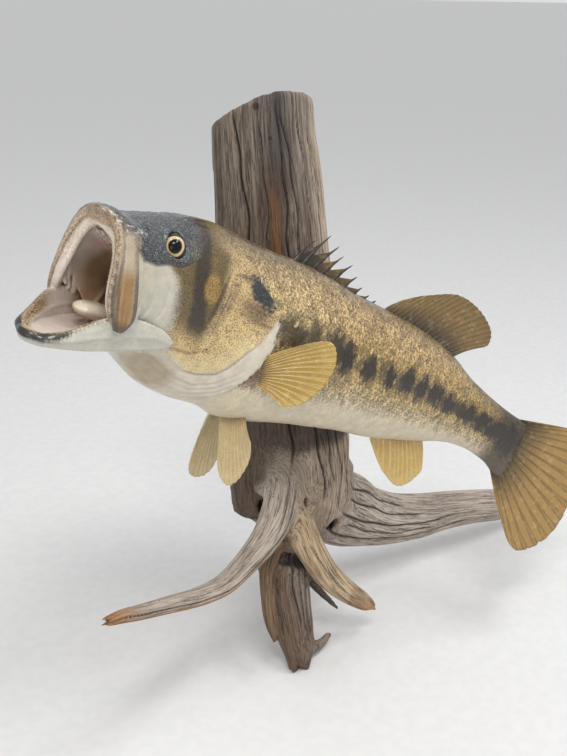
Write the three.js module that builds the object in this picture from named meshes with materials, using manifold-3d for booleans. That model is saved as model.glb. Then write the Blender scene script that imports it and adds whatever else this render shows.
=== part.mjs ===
// Largemouth bass on a driftwood mount: a life-size still model that hangs on a wall.
// Millimetres, +Z up. The wall is the plane y = 0, the viewer stands on the -y side and
// the origin lies on the wall behind the fish's back.
import * as THREE from 'three';
import { mergeVertices } from 'three/addons/utils/BufferGeometryUtils.js';
import Module from 'manifold-3d';

const wasm = await Module();
wasm.setup();

// ---------------------------------------------------------------- driving sizes
const standardLength = 530; // upper lip to the root of the tail fin
const pieceGap = 0.3; // air left between neighbouring pieces
const seamTolerance = 0.3; // how far a cut seam may be straightened
const seamWeld = 2e-3; // vertices this close along a cut seam are one vertex
const flattestCorner = 0.4; // keeps a grown sharp corner from shooting out
const ringPoints = 20; // points round a body section

// Where the middle of the fish stands, how it is turned, and how its midline bends.
const fishPose = {
  middle: [-36.3, -102.9, 7.6],
  yaw: -18.2,
  pitch: 30.34,
  roll: -3.07,
  bend: [0.366, -0.465, 1.146],
  neck: -0.0926,
};

// Side view of the fish: distance behind the upper lip, height over the midline.
const backLine = [
  [14, 32.5], [20, 34.7], [31, 36], [54, 43.7], [77, 52], [101, 58], [113, 60], [134, 60.9],
  [156, 61], [178, 61.9], [201, 64.2], [222, 65.8], [246, 65.5], [272, 63.2], [309, 63.5],
  [355, 62.6], [395, 58], [420, 51], [442, 42.5], [474, 34.5], [510, 28], [534, 26.4],
];
const bellyLine = [
  [14, 4], [20, -18], [30, -34], [45, -46], [60, -54], [72, -62], [92, -71.8], [112, -80],
  [141, -83.4], [175, -82], [195, -85], [229, -79.5], [260, -71], [288, -65], [320, -58.4],
  [357, -53], [385, -46], [420, -36.1], [440, -29], [456, -25.5], [480, -24.7], [505, -29],
  [522, -37],
];
// Top view of the fish: half width, and the height at which the section is widest.
const halfWidth = [
  [14, 20], [20, 26], [30, 31.5], [45, 34.5], [60, 35.5], [80, 37], [100, 39], [125, 41.5],
  [160, 43], [200, 44], [240, 44], [275, 43], [305, 40.5], [335, 37], [365, 32.5], [400, 26],
  [430, 21], [460, 17], [485, 14], [510, 10.5], [526, 8],
];
const widestHeight = [
  [14, 14], [30, 4], [60, -4], [100, -10], [160, -12], [240, -10], [330, -2], [420, 4],
  [480, 3], [526, -4],
];

// Lengthwise stations of the three flesh lofts.
const headStations = [14, 19, 26, 36, 48, 62, 78, 95, 113, 132, 151.7];
const trunkStations = [152, 168, 186, 206, 228, 252, 278, 304, 330, 356, 380, 401.7];
const stalkStations = [402, 420, 438, 458, 480, 500, 514, 524];

// Mouth hollow: station, roof, floor, half width.
const mouthHollow = [
  [6, 25, -75, 23], [20, 21, -72, 26.5], [38, 16.5, -58, 30], [62, 11, -48, 31],
  [84, 5, -45, 28], [106, -5, -41, 19.5], [125, -18, -33, 7],
];

// Upper jaw, one side, from the middle of the lip to the end of the maxilla: inner edge of
// the tooth band, lip edge, rear edge, each as distance, height and half width.
const upperJawRows = [
  [[11, 23.5, 0], [2, 31.5, 0], [16.5, 34.9, 0]],
  [[12.2, 22.9, 4], [4, 31.8, 5], [17, 34.6, 7]],
  [[14.8, 21.1, 8], [7.5, 30.6, 9.5], [18, 33, 15]],
  [[17, 18.6, 12.5], [10.8, 27, 14.5], [19, 29, 24]],
  [[18.5, 13.7, 16.5], [13, 19.8, 20], [20.5, 22, 30]],
  [[19.6, 6.8, 20], [14.1, 11.1, 24], [23.5, 12, 34.5]],
  [[21, -2, 22.5], [15.5, -1, 27.6], [28, 2, 37.5]],
  [[22.3, -13, 24.7], [17.8, -13, 29.7], [34, -10, 39.5]],
  [[24.4, -24, 27.3], [21, -25, 31.6], [40, -22, 40.6]],
  [[28, -33, 31], [26, -34.5, 34], [42.5, -32, 40.6]],
  [[34, -39, 36], [32, -41, 37], [38.5, -41, 39.3]],
];
// Lower jaw, one side, from the chin to the jaw joint: rim, outer, bottom and inner edge.
const lowerJawRows = [
  [[-15.2, -64.6, 0], [-16.6, -68, 0], [-11, -72.6, 0], [-7.5, -67, 0]],
  [[-14.3, -64.2, 5], [-15.3, -67.5, 6.2], [-10, -72.2, 4.8], [-7.8, -66.6, 3.2]],
  [[-8.5, -63.3, 10], [-10.5, -67, 12.2], [-6, -71.5, 10.2], [-3.4, -65.6, 7]],
  [[-1.8, -60, 15], [-3, -65.2, 17.3], [0.5, -70, 14.8], [2.6, -63.6, 11.6]],
  [[5.8, -54.9, 20], [5.2, -61.4, 22.6], [8, -68, 19.2], [9.6, -60.4, 16.2]],
  [[15, -46.6, 25], [15.2, -56, 27.6], [17.5, -65.4, 23.2], [18.4, -56, 20.6]],
  [[25, -37.8, 29.6], [27, -50, 32], [29.5, -62, 27.2], [29, -51, 25]],
  [[41, -31.5, 32.5], [43, -44.4, 35], [45, -57, 30.8], [42.5, -45, 28.8]],
  [[59, -29, 35], [61, -39.6, 37.6], [63, -51.2, 34], [59.5, -41, 31.6]],
  [[77, -29.5, 37.4], [79.5, -36, 39.4], [81, -45.4, 37], [77, -37.6, 33.8]],
  [[90, -33, 38.6], [93, -36, 39.8], [92.5, -41, 38.4], [90, -38, 36.4]],
];
// Skin between the jaw bones: station, top, bottom, half width.
const chinRows = [
  [-10, -66.6, -70.6, 3], [-2, -65.2, -70.8, 12], [10, -62, -69, 20], [25, -57.6, -65.2, 25.5],
  [42, -52.6, -61, 30], [58, -48, -57, 32.5], [69, -45.6, -54.6, 34],
];
// Tongue: station, middle height, half width, half thickness.
const tongueRows = [
  [27, -40.5, 3, 2], [30, -39.5, 8, 4.6], [38, -38.6, 11.5, 6.4], [52, -38.6, 13, 7],
  [70, -39, 13.5, 6.6], [88, -39, 12, 5.6], [100, -38, 9, 4.4],
];
const eye = { at: [61.7, 28.4], depth: 22, radius: 10.4, bulge: 0.98 };

// Gill cover outline in the side view, and how far it stands proud of and reaches into
// the side of the fish.
const gillCover = [
  [119, 44], [136, 48.5], [150, 43], [160, 34], [172, 28.5], [187.5, 20.5], [191, 8],
  [193.6, -9.7], [191, -28], [185, -44], [174, -61.7], [156, -74], [134, -78], [112, -73],
  [104, -60], [118, -50], [127, -34], [131, -12], [126, 14], [117, 34],
];
const gillProud = 1.6;
const gillDeep = 3.2;
const gillStations = [108, 122, 138, 152, 168, 184];
const gillReach = [8, 68]; // from the middle of the fish, across its side

// Fins: rays as [root, tip] pairs in the fish's own frame; halfRoot and halfTip are half
// thicknesses, ridge is how far a ray stands over its web, scallop how deep the web dips.
const finLevels = [0, 0.45, 1]; // shares of a ray's length that carry a row of points
const finTaper = 0.7;
const finEdge = 0.8;
const spinyDorsal = {
  halfRoot: 1.7, halfTip: 0.55, ridge: 0.7, scallop: 0.42,
  rays: [
    [[203, 58, 0], [216, 87.5, 0]], [[212, 58, 0], [228.5, 97.5, 0]], [[223, 58, 0], [241.5, 93, 0]],
    [[234, 58, 0], [250, 87, 0]], [[246, 57.5, 0], [263, 84.5, 0]], [[260, 56.5, 0], [272.8, 77, 0]],
    [[274, 56, 0], [283, 70.8, 0]], [[287, 56, 0], [293.5, 67.5, 0]], [[297, 56, 0], [303, 66, 0]],
  ],
};
const softDorsal = {
  halfRoot: 1.9, halfTip: 0.5, ridge: 0.45, scallop: 0.03,
  rays: [
    [[311, 56, 0], [330, 78.5, 0.5]], [[319, 56, 0], [344, 88.5, 1.5]], [[328, 56, 0], [358, 96.2, 2.5]],
    [[337, 56, 0], [370, 102.4, 3]], [[346, 56, 0], [382, 106.6, 3.2]], [[355, 55, 0], [394, 107.4, 3.3]],
    [[364, 55, 0], [406, 106, 3.2]], [[373, 54, 0], [418, 102.8, 3]], [[381, 53, 0], [429, 98, 2.6]],
    [[389, 52, 0], [438, 92, 2]], [[396, 50, 0], [443, 84.6, 1.2]], [[402, 48, 0], [443, 77, 0.6]],
    [[407, 46.5, 0], [434, 71, 0]],
  ],
};
const analFin = {
  halfRoot: 1.7, halfTip: 0.5, ridge: 0.4, scallop: 0.03,
  rays: [
    [[369, -45, 0], [379, -60, 0]], [[375, -43, 0], [392, -71, 0]], [[381, -41, 0], [404, -79, 0]],
    [[387, -39, 0], [413, -84, 0]], [[393, -37, 0], [421, -85.6, 0]], [[399, -35, 0], [428, -83, 0]],
    [[405, -33, 0], [434, -77, 0]], [[410, -31.5, 0], [438.5, -69, 0]], [[415, -30, 0], [440.5, -62, 0]],
    [[420, -28.5, 0], [438, -55.6, 0]],
  ],
};
const tailRoot = 524.5; // just behind the end of the tail stalk
const tailFin = {
  halfRoot: 2.6, halfTip: 0.5, ridge: 0.4, scallop: 0.02,
  rays: [
    [[tailRoot, -42.7, 0], [537, -56.5, 0]], [[tailRoot, -37.9, 0], [559, -77.5, 1]],
    [[tailRoot, -33.6, 0], [575, -94, 2]], [[tailRoot, -29.5, 0], [588, -99.5, 2.4]],
    [[tailRoot, -24.7, 0], [599, -95, 2.4]], [[tailRoot, -20.2, 0], [608, -86, 2]],
    [[tailRoot, -15.8, 0], [615, -75, 1.4]], [[tailRoot, -11.6, 0], [619.6, -62, 0.8]],
    [[tailRoot, -7.5, 0], [621.6, -48, 0.2]], [[tailRoot, -3.6, 0], [621, -34, 0]],
    [[tailRoot, 0.2, 0], [618.5, -20, 0]], [[tailRoot, 3.8, 0], [617.5, -6, 0]],
    [[tailRoot, 7.5, 0], [619.5, 8, 0]], [[tailRoot, 11.2, 0], [624, 22, 0]],
    [[tailRoot, 14.5, 0], [629, 34.5, 0.4]], [[tailRoot, 17.7, 0], [632, 44.5, 1]],
    [[tailRoot, 20.5, 0], [631, 51.5, 1.2]], [[tailRoot, 23.2, 0], [620, 52, 1]],
    [[tailRoot, 25.2, 0], [601, 45.5, 0.6]], [[tailRoot, 26.8, 0], [566, 37.5, 0]],
  ],
};
const pectoralFin = {
  halfRoot: 2.2, halfTip: 0.5, ridge: 0.4, scallop: 0.02,
  rays: [
    [[186, -27, 37], [216.5, 10, 61]], [[187, -28.5, 37.4], [223.5, 14.5, 65]],
    [[188, -30, 37.6], [230, 15.5, 68]], [[189, -31.5, 37.8], [235, 11.5, 69.6]],
    [[190, -33, 37.8], [239, 5, 70.4]], [[191, -34.5, 37.8], [241.5, -3.5, 70.2]],
    [[191.8, -36, 37.6], [242, -13.5, 68.8]], [[192.4, -37.5, 37.4], [240.5, -24.5, 66.4]],
    [[193, -39, 37], [236.5, -35.5, 63]], [[193.4, -40.5, 36.4], [230, -44, 59.4]],
    [[193.6, -42, 35.8], [219.5, -50, 54]],
  ],
};
const pelvicFin = {
  halfRoot: 2.2, halfTip: 0.5, ridge: 0.5, scallop: 0.03,
  rays: [
    [[200, -77, 8], [209, -104, 11.5]], [[202, -77, 9.6], [214.5, -119, 14]],
    [[204.4, -76.6, 11.4], [221, -130, 18]], [[207, -76, 13.4], [229, -134.5, 22.6]],
    [[209.6, -75, 15.4], [234, -129, 25.6]], [[212, -73.8, 17.2], [236.4, -117, 26.6]],
    [[214, -72.6, 18.6], [236, -104, 26]], [[215.6, -71.4, 19.8], [231.5, -92.5, 24.2]],
  ],
};
// The far pelvic fin hangs lower and further out than the near one.
const pelvicFinFar = {
  ...pelvicFin,
  rays: [
    [[200, -77, 8], [204, -112, 12]], [[202, -77, 9.6], [207.5, -130, 15]],
    [[204.4, -76.6, 11.4], [213.5, -142, 18.6]], [[207, -76, 13.4], [221.5, -147.5, 22]],
    [[209.6, -75, 15.4], [231, -147, 25]], [[212, -73.8, 17.2], [239.5, -140, 27]],
    [[214, -72.6, 18.6], [242, -126, 28]], [[215.6, -71.4, 19.8], [239, -110, 27]],
  ],
};

// Driftwood. The log is a split round: height, middle x, half width, depth from the wall.
const logRows = [
  [-232, 26, 46, 56], [-214, 23, 58, 70], [-190, 22, 66, 77], [-160, 23, 70, 78],
  [-129, 24.5, 71, 76], [-90, 20.5, 69, 70], [-45, 14.5, 67, 66.5], [0, 8.5, 65, 65],
  [45, 4, 63, 63.5], [90, -0.5, 60.5, 62], [130, -4, 57.5, 59], [165, -8, 54.5, 54.5],
  [187, -11, 52, 51.5],
];
const logTopSlope = { alongX: -0.08, alongY: -0.72 };
// Roots: centre point, half width across, half thickness.
const rootRows = {
  root_right: [
    [[60, -34, -212], 40, 33], [[92, -38, -234], 43, 31], [[124, -43, -254], 36, 27],
    [[160, -52, -269], 31.5, 23], [[200, -63, -278], 29, 20], [[245, -75, -283], 25, 17],
    [[290, -87, -291], 22.5, 15], [[330, -97, -301], 21, 13], [[362, -105, -311], 16, 9],
    [[384, -110, -319], 7, 4],
  ],
  root_foot: [
    [[0, -46, -196], 38, 30], [[-14, -54, -226], 34, 30], [[-24, -64, -256], 32, 26],
    [[-33, -76, -284], 32, 21], [[-38, -88, -308], 27, 16], [[-40, -96, -326], 18, 11],
    [[-43, -101, -338], 9, 6],
  ],
  root_left: [
    [[-28, -62, -150], 19, 15], [[-50, -73, -171], 19, 16], [[-74, -80, -184], 15.5, 13.5],
    [[-104, -86, -193], 12.5, 11.5], [[-136, -92, -197], 10.6, 10], [[-170, -96, -191], 8.8, 8.6],
    [[-204, -98, -181], 7.6, 7.2], [[-236, -100, -171], 6.6, 6], [[-258, -100, -164.5], 5.2, 4.6],
    [[-269, -100, -164], 2.6, 2.4],
  ],
  root_front: [
    [[-16, -60, -168], 17, 14], [[-19, -74, -191], 16.5, 14], [[-16, -86, -212], 15, 13.5],
    [[-9, -96, -234], 14, 12.5], [[4, -105, -256], 13, 11.5], [[20, -110, -275], 11.5, 10],
    [[38, -115, -292], 9, 7.6], [[54, -118, -304], 4, 3.4],
  ],
  root_thin: [
    [[-22, -52, -226], 8, 7], [[-12, -60, -243], 7, 6.4], [[4, -66, -268], 5.6, 5.2],
    [[20, -71, -292], 4.4, 4], [[36, -74, -313], 3.2, 3], [[46, -75, -326], 1.5, 1.4],
  ],
};

const finish = {
  dark_back: [0x4d4a38, 0.35],
  head_skin: [0x59604f, 0.32],
  flank: [0xa08c58, 0.35],
  jaw: [0xb9a888, 0.38],
  pale_skin: [0xe2dccb, 0.36],
  gill_gold: [0xb59d5c, 0.32],
  fin_amber: [0xb08a3e, 0.42],
  fin_dark: [0x57492b, 0.42],
  fin_pale: [0xcdb26e, 0.42],
  eye_glass: [0x1a1712, 0.08],
  tongue_cream: [0xe4dcc4, 0.4],
  weathered_wood: [0x7d6a57, 0.85],
  root_wood: [0x8f7f6c, 0.85],
};

// ---------------------------------------------------------------- small maths
// Smooth curve through a table of [position, value] rows.
function curve(table) {
  const slopes = table.map((row, i) => {
    const before = table[Math.max(i - 1, 0)];
    const after = table[Math.min(i + 1, table.length - 1)];
    return (after[1] - before[1]) / (after[0] - before[0]);
  });
  return (x) => {
    let i = 0;
    while (i < table.length - 2 && x > table[i + 1][0]) {
      i += 1;
    }
    const span = table[i + 1][0] - table[i][0];
    const t = Math.min(Math.max((x - table[i][0]) / span, 0), 1);
    const a = (1 + 2 * t) * (1 - t) ** 2 * table[i][1] + t * (1 - t) ** 2 * span * slopes[i];
    const b = t * t * (3 - 2 * t) * table[i + 1][1] + t * t * (t - 1) * span * slopes[i + 1];
    return a + b;
  };
}

const signedPower = (value, power) => Math.sign(value) * Math.abs(value) ** power;

const blend = (a, b, t) => a.map((value, i) => value + (b[i] - value) * t);

const mirrored = ([s, h, w]) => [s, h, -w];

// A small repeatable ripple for the wood, between -1 and 1.
function ripple(angle, along, seed) {
  const broad = Math.sin(3 * angle + along * 0.021 + seed) * 0.5;
  const fine = Math.sin(7 * angle - along * 0.034 + seed * 2.3) * 0.32;
  return broad + fine + Math.sin(along * 0.09 + seed * 5.1) * 0.18;
}

// ---------------------------------------------------------------- the bent midline
const midline = buildMidline();

function buildMidline() {
  const steps = 1550;
  const points = [];
  let x = 0;
  let y = 0;
  let last = null;
  for (let i = 0; i <= steps; i += 1) {
    const s = -0.25 + (1.55 * i) / steps;
    const t = s - 0.5;
    const turn = Math.min(Math.max((0.36 - s) / 0.22, 0), 1);
    const [a, b, c] = fishPose.bend;
    const angle = a * t + b * t * t + c * t ** 3 + fishPose.neck * turn * turn * (3 - 2 * turn);
    if (last !== null) {
      x += (Math.cos(angle) + Math.cos(last)) * 0.0005;
      y += (Math.sin(angle) + Math.sin(last)) * 0.0005;
    }
    points.push({ x, y, angle });
    last = angle;
  }
  const middle = points[Math.round(0.75 / 0.001)];
  return points.map((p) => ({ x: p.x - middle.x, y: p.y - middle.y, angle: p.angle }));
}

const fishTurn = new THREE.Matrix4().makeRotationFromEuler(
  new THREE.Euler(
    THREE.MathUtils.degToRad(fishPose.roll),
    THREE.MathUtils.degToRad(fishPose.pitch),
    THREE.MathUtils.degToRad(fishPose.yaw),
    'ZYX',
  ),
);

// From the straight fish frame (distance behind the lip, height, width towards the
// viewer) to the finished model's frame.
function place([s, h, w]) {
  const at = (s / standardLength + 0.25) / 0.001;
  const i = Math.min(Math.max(Math.floor(at), 0), midline.length - 2);
  const f = at - i;
  const x = midline[i].x + (midline[i + 1].x - midline[i].x) * f;
  const y = midline[i].y + (midline[i + 1].y - midline[i].y) * f;
  const angle = midline[i].angle + (midline[i + 1].angle - midline[i].angle) * f;
  const local = new THREE.Vector3(
    x * standardLength - Math.sin(angle) * w,
    -y * standardLength - Math.cos(angle) * w,
    h,
  );
  local.applyMatrix4(fishTurn);
  return local.toArray().map((value, axis) => value + fishPose.middle[axis]);
}

// ---------------------------------------------------------------- solids
function solidFrom(points, triangles) {
  let volume = 0;
  for (const [a, b, c] of triangles) {
    const [p, q, r] = [points[a], points[b], points[c]];
    volume += p[0] * (q[1] * r[2] - q[2] * r[1]);
    volume -= p[1] * (q[0] * r[2] - q[2] * r[0]);
    volume += p[2] * (q[0] * r[1] - q[1] * r[0]);
  }
  const faces = volume < 0 ? triangles.map(([a, b, c]) => [a, c, b]) : triangles;
  const mesh = new wasm.Mesh({
    numProp: 3,
    vertProperties: Float32Array.from(points.flat()),
    triVerts: Uint32Array.from(faces.flat()),
  });
  return new wasm.Manifold(mesh);
}

// A closed solid through rings of equal count, with a fan over each end.
function loft(rings) {
  const count = rings[0].length;
  const points = rings.flat();
  const triangles = [];
  for (let r = 0; r < rings.length - 1; r += 1) {
    for (let i = 0; i < count; i += 1) {
      const a = r * count + i;
      const b = r * count + ((i + 1) % count);
      triangles.push([a, b, b + count], [a, b + count, a + count]);
    }
  }
  for (const [ring, flip] of [[0, true], [rings.length - 1, false]]) {
    const centre = [0, 1, 2].map((k) => rings[ring].reduce((sum, p) => sum + p[k], 0) / count);
    const hub = points.push(centre) - 1;
    for (let i = 0; i < count; i += 1) {
      const a = ring * count + i;
      const b = ring * count + ((i + 1) % count);
      triangles.push(flip ? [hub, b, a] : [hub, a, b]);
    }
  }
  return solidFrom(points, triangles);
}

// The same solid with its skin moved outwards, used to leave a gap round it. A vertex on a
// sharp edge moves further, so that each face beside it still clears the gap.
function swell(solid, amount = pieceGap) {
  const mesh = solid.getMesh();
  const points = inThrees(mesh.vertProperties).map((at) => new THREE.Vector3(...at));
  const triangles = inThrees(mesh.triVerts);
  const faces = points.map(() => []);
  for (const corners of triangles) {
    const face = new THREE.Triangle(...corners.map((c) => points[c]));
    const normal = face.getNormal(new THREE.Vector3());
    corners.forEach((corner) => faces[corner].push(normal));
  }
  const grown = points.map((point, i) => {
    const out = faces[i].reduce((sum, n) => sum.add(n), new THREE.Vector3()).normalize();
    const least = Math.min(...faces[i].map((n) => n.dot(out)));
    return point.clone().addScaledVector(out, amount / Math.max(least, flattestCorner)).toArray();
  });
  return solidFrom(grown, triangles);
}

function geometryOf(mesh) {
  const geometry = new THREE.BufferGeometry();
  geometry.setAttribute('position', new THREE.BufferAttribute(mesh.vertProperties.slice(), 3));
  geometry.setIndex(new THREE.BufferAttribute(mesh.triVerts.slice(), 1));
  return geometry;
}

// A flat array of numbers as rows of three.
function inThrees(flat) {
  const rows = [];
  for (let i = 0; i < flat.length; i += 3) {
    rows.push(Array.from(flat.slice(i, i + 3)));
  }
  return rows;
}

// The closed solid of a geometry whose coinciding vertices are joined first.
function solidOf(geometry, tolerance = 1e-3) {
  geometry.deleteAttribute('normal');
  geometry.deleteAttribute('uv');
  const joined = mergeVertices(geometry, tolerance);
  const points = inThrees(joined.getAttribute('position').array);
  const triangles = inThrees(joined.index.array);
  return solidFrom(points, triangles.filter(([a, b, c]) => a !== b && b !== c && a !== c));
}

// Joins vertices that all but coincide, so that no sliver of air stays shut inside.
const welded = (solid) => solidOf(geometryOf(solid.getMesh()), seamWeld);

// The same solid with each of its points moved by a function.
function moved(solid, move) {
  const mesh = solid.getMesh();
  return solidFrom(inThrees(mesh.vertProperties).map(move), inThrees(mesh.triVerts));
}

// Cuts away the neighbours with a gap round each and keeps the main body that is left.
// A neighbour already grown by its maker is passed in the second list.
function cutBy(solid, others, grown = []) {
  const tools = [...others.map((other) => swell(other)), ...grown];
  const rest = tools.reduce((left, tool) => left.subtract(tool), solid);
  const bodies = welded(rest.simplify(seamTolerance)).decompose();
  return bodies.reduce((best, body) => (body.volume() > best.volume() ? body : best));
}

const bent = (solid) => moved(solid, place);

// ---------------------------------------------------------------- fish pieces
const backAt = curve(backLine);
const bellyAt = curve(bellyLine);
const widthAt = curve(halfWidth);
const widestAt = curve(widestHeight);

// One section across the fish, grown or shrunk by an offset.
function fishSection(s, offset = 0) {
  const middle = widestAt(s);
  const headShare = Math.min(Math.max((150 - s) / 110, 0), 1);
  const fullness = 2.05 + 0.35 * headShare;
  const ring = [];
  for (let i = 0; i < ringPoints; i += 1) {
    const angle = (i / ringPoints) * 2 * Math.PI;
    const up = signedPower(Math.sin(angle), 2 / fullness);
    const reach = up > 0 ? backAt(s) + offset - middle : middle - bellyAt(s) + offset;
    const w = (widthAt(s) + offset) * signedPower(Math.cos(angle), 2 / fullness);
    ring.push([s, middle + reach * up, w]);
  }
  return ring;
}

const fleshLoft = (stations, offset = 0) => loft(stations.map((s) => fishSection(s, offset)));

function ellipseSection(s, top, bottom, half, count, fullness = 2) {
  const ring = [];
  for (let i = 0; i < count; i += 1) {
    const angle = ((i + 0.5) / count) * 2 * Math.PI;
    const up = signedPower(Math.sin(angle), 2 / fullness);
    const w = half * signedPower(Math.cos(angle), 2 / fullness);
    ring.push([s, (top + bottom) / 2 + ((top - bottom) / 2) * up, w]);
  }
  return ring;
}

// Both sides of a jaw in one row list, running from one end round the front to the other.
function bothSides(rows) {
  const other = rows.slice(1).map((row) => row.map(mirrored));
  return [...other.reverse(), ...rows];
}

function upperJaw() {
  const rows = bothSides(upperJawRows);
  const rings = rows.map((row, i) => {
    const [inner, lip, rear] = row.map((p) => new THREE.Vector3(...p));
    const before = new THREE.Vector3(...rows[Math.max(i - 1, 0)][1]);
    const after = new THREE.Vector3(...rows[Math.min(i + 1, rows.length - 1)][1]);
    const along = after.sub(before);
    const inward = new THREE.Vector3().crossVectors(along, rear.clone().sub(lip)).normalize();
    if (inward.dot(new THREE.Vector3(30, -20, 0).sub(lip)) < 0) {
      inward.negate();
    }
    const face = lip.clone().lerp(rear, 0.5).addScaledVector(inward, -1.4);
    const lipTop = lip.clone().lerp(rear, 0.12).addScaledVector(inward, -0.9);
    const rearIn = rear.clone().addScaledVector(inward, 2.4);
    const backing = lip.clone().lerp(rear, 0.55).addScaledVector(inward, 3.4);
    const innerBack = inner.clone().lerp(rear, 0.14).addScaledVector(inward, 2.2);
    const toothFace = inner.clone().lerp(lip, 0.5).addScaledVector(inward, -0.8);
    const ring = [inner, toothFace, lip, lipTop, face, rear, rearIn, backing, innerBack];
    return ring.map((p) => p.toArray());
  });
  return loft(rings);
}

function lowerJaw() {
  const bar = bothSides(lowerJawRows).map(([rim, outer, bottom, inner]) => [
    rim, outer, blend(outer, bottom, 0.5), bottom, inner, blend(inner, rim, 0.5),
  ]);
  const chin = chinRows.map(([s, top, bottom, half]) =>
    ellipseSection(s, top, bottom, half - 1, 12, 2.6));
  return loft(bar).add(loft(chin));
}

const tongue = () =>
  loft(tongueRows.map(([s, h, half, thick]) => ellipseSection(s, h + thick, h - thick, half, 12)));

function eyeball(side) {
  const ball = solidOf(new THREE.SphereGeometry(eye.radius, 14, 9));
  const [s, h] = eye.at;
  return moved(ball, ([x, y, z]) => [s + x, h + z, side * (eye.depth + y * eye.bulge)]);
}

// The head is hollow from the lips to the throat.
function headShell() {
  const hollow = loft(mouthHollow.map(([s, top, bottom, half]) =>
    ellipseSection(s, top, bottom, half, 14, 2.5)));
  return fleshLoft(headStations).subtract(hollow);
}

// A clockwise outline with each of its edges moved outwards.
function grownOutline(outline, grow) {
  const count = outline.length;
  const edges = outline.map(([x, y], i) => {
    const [nextX, nextY] = outline[(i + 1) % count];
    return new THREE.Vector2(y - nextY, nextX - x).normalize();
  });
  return outline.map(([x, y], i) => {
    const before = edges[(i + count - 1) % count];
    const out = before.clone().add(edges[i]).divideScalar(1 + before.dot(edges[i]));
    return new THREE.Vector2(x, y).addScaledVector(out, grow);
  });
}

// A gill cover is the part of a thin shell over the fish's side that lies within its outline.
function gillPlate(side, grow = 0) {
  const outer = fleshLoft([96, ...gillStations, 200], gillProud + grow);
  const inner = fleshLoft([90, ...gillStations, 206], -gillDeep - grow);
  const outline = new THREE.Shape(grownOutline(gillCover, grow));
  const [nearest, furthest] = gillReach;
  const prism = new THREE.ExtrudeGeometry(outline, {
    depth: furthest - nearest, steps: 1, bevelEnabled: false,
  }).translate(0, 0, nearest);
  const cutter = solidOf(prism);
  return outer.subtract(inner).intersect(side > 0 ? cutter : moved(cutter, mirrored));
}

// A fin: rays joined by web, thick at the root and thin at the rim.
function finBlade(fin, side = 1) {
  const rays = fin.rays.map((ray) => (side > 0 ? ray : ray.map(mirrored)));
  const columns = [];
  rays.forEach((ray, i) => {
    columns.push({ root: ray[0], tip: ray[1], ridge: fin.ridge });
    if (i < rays.length - 1) {
      const root = blend(ray[0], rays[i + 1][0], 0.5);
      const tip = blend(ray[1], rays[i + 1][1], 0.5);
      columns.push({ root, tip: blend(tip, root, fin.scallop), ridge: 0 });
    }
  });
  const grid = columns.map(({ root, tip }) => finLevels.map((t) => blend(root, tip, t)));
  const front = [];
  const back = [];
  columns.forEach((column, i) => {
    const normal = webNormal(grid, i);
    finLevels.forEach((t, j) => {
      const half = fin.halfRoot + (fin.halfTip - fin.halfRoot) * t ** finTaper;
      const edge = i === 0 || i === columns.length - 1 ? finEdge : 1;
      const thick = half * edge + column.ridge * 0.5 * (1 - t * 0.7);
      front.push(grid[i][j].map((value, k) => value + normal[k] * thick));
      back.push(grid[i][j].map((value, k) => value - normal[k] * thick));
    });
  });
  return solidFrom([...front, ...back], bladeFaces(columns.length, finLevels.length));
}

// The side a fin faces at one column, from its two inner rows: its tips may run backwards.
function webNormal(grid, i) {
  const before = grid[Math.max(i - 1, 0)];
  const after = grid[Math.min(i + 1, grid.length - 1)];
  const last = before.length - 1;
  const across = new THREE.Vector3();
  for (const level of [0, 1]) {
    const step = new THREE.Vector3(...after[level]).sub(new THREE.Vector3(...before[level]));
    across.add(step.normalize());
  }
  const along = new THREE.Vector3(...grid[i][last]).sub(new THREE.Vector3(...grid[i][0]));
  return across.cross(along).normalize().toArray();
}

// Triangles of a two-sided sheet of points, closed round its border.
function bladeFaces(columns, rows) {
  const total = columns * rows;
  const id = (i, j) => i * rows + j;
  const faces = [];
  for (let i = 0; i < columns - 1; i += 1) {
    for (let j = 0; j < rows - 1; j += 1) {
      const [a, b, c, d] = [id(i, j), id(i + 1, j), id(i + 1, j + 1), id(i, j + 1)];
      faces.push([a, b, c], [a, c, d]);
      faces.push([a + total, c + total, b + total], [a + total, d + total, c + total]);
    }
  }
  const border = [];
  for (let i = 0; i < columns - 1; i += 1) {
    border.push([id(i + 1, 0), id(i, 0)], [id(i, rows - 1), id(i + 1, rows - 1)]);
  }
  for (let j = 0; j < rows - 1; j += 1) {
    border.push([id(0, j), id(0, j + 1)], [id(columns - 1, j + 1), id(columns - 1, j)]);
  }
  for (const [a, b] of border) {
    faces.push([a, b, b + total], [a, b + total, a + total]);
  }
  return faces;
}

// ---------------------------------------------------------------- driftwood pieces
function logSolid(grow = 0) {
  const count = 22;
  const rings = logRows.map(([z, middle, half, depth], row) => {
    const isTop = row === logRows.length - 1;
    const ring = [];
    for (let i = 0; i < count; i += 1) {
      const angle = (i / (count - 1)) * Math.PI;
      const wobble = 1 + 0.035 * ripple(angle, z, 1.7) * Math.sin(angle);
      const x = middle + (half + grow) * wobble * signedPower(Math.cos(angle), 0.92);
      const y = -(depth + grow) * wobble * signedPower(Math.sin(angle), 0.92);
      const lift = isTop ? logTopSlope.alongX * x + logTopSlope.alongY * y : 0;
      ring.push([x, y, z + lift + (isTop ? grow : 0)]);
    }
    return ring;
  });
  return loft(rings);
}

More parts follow.
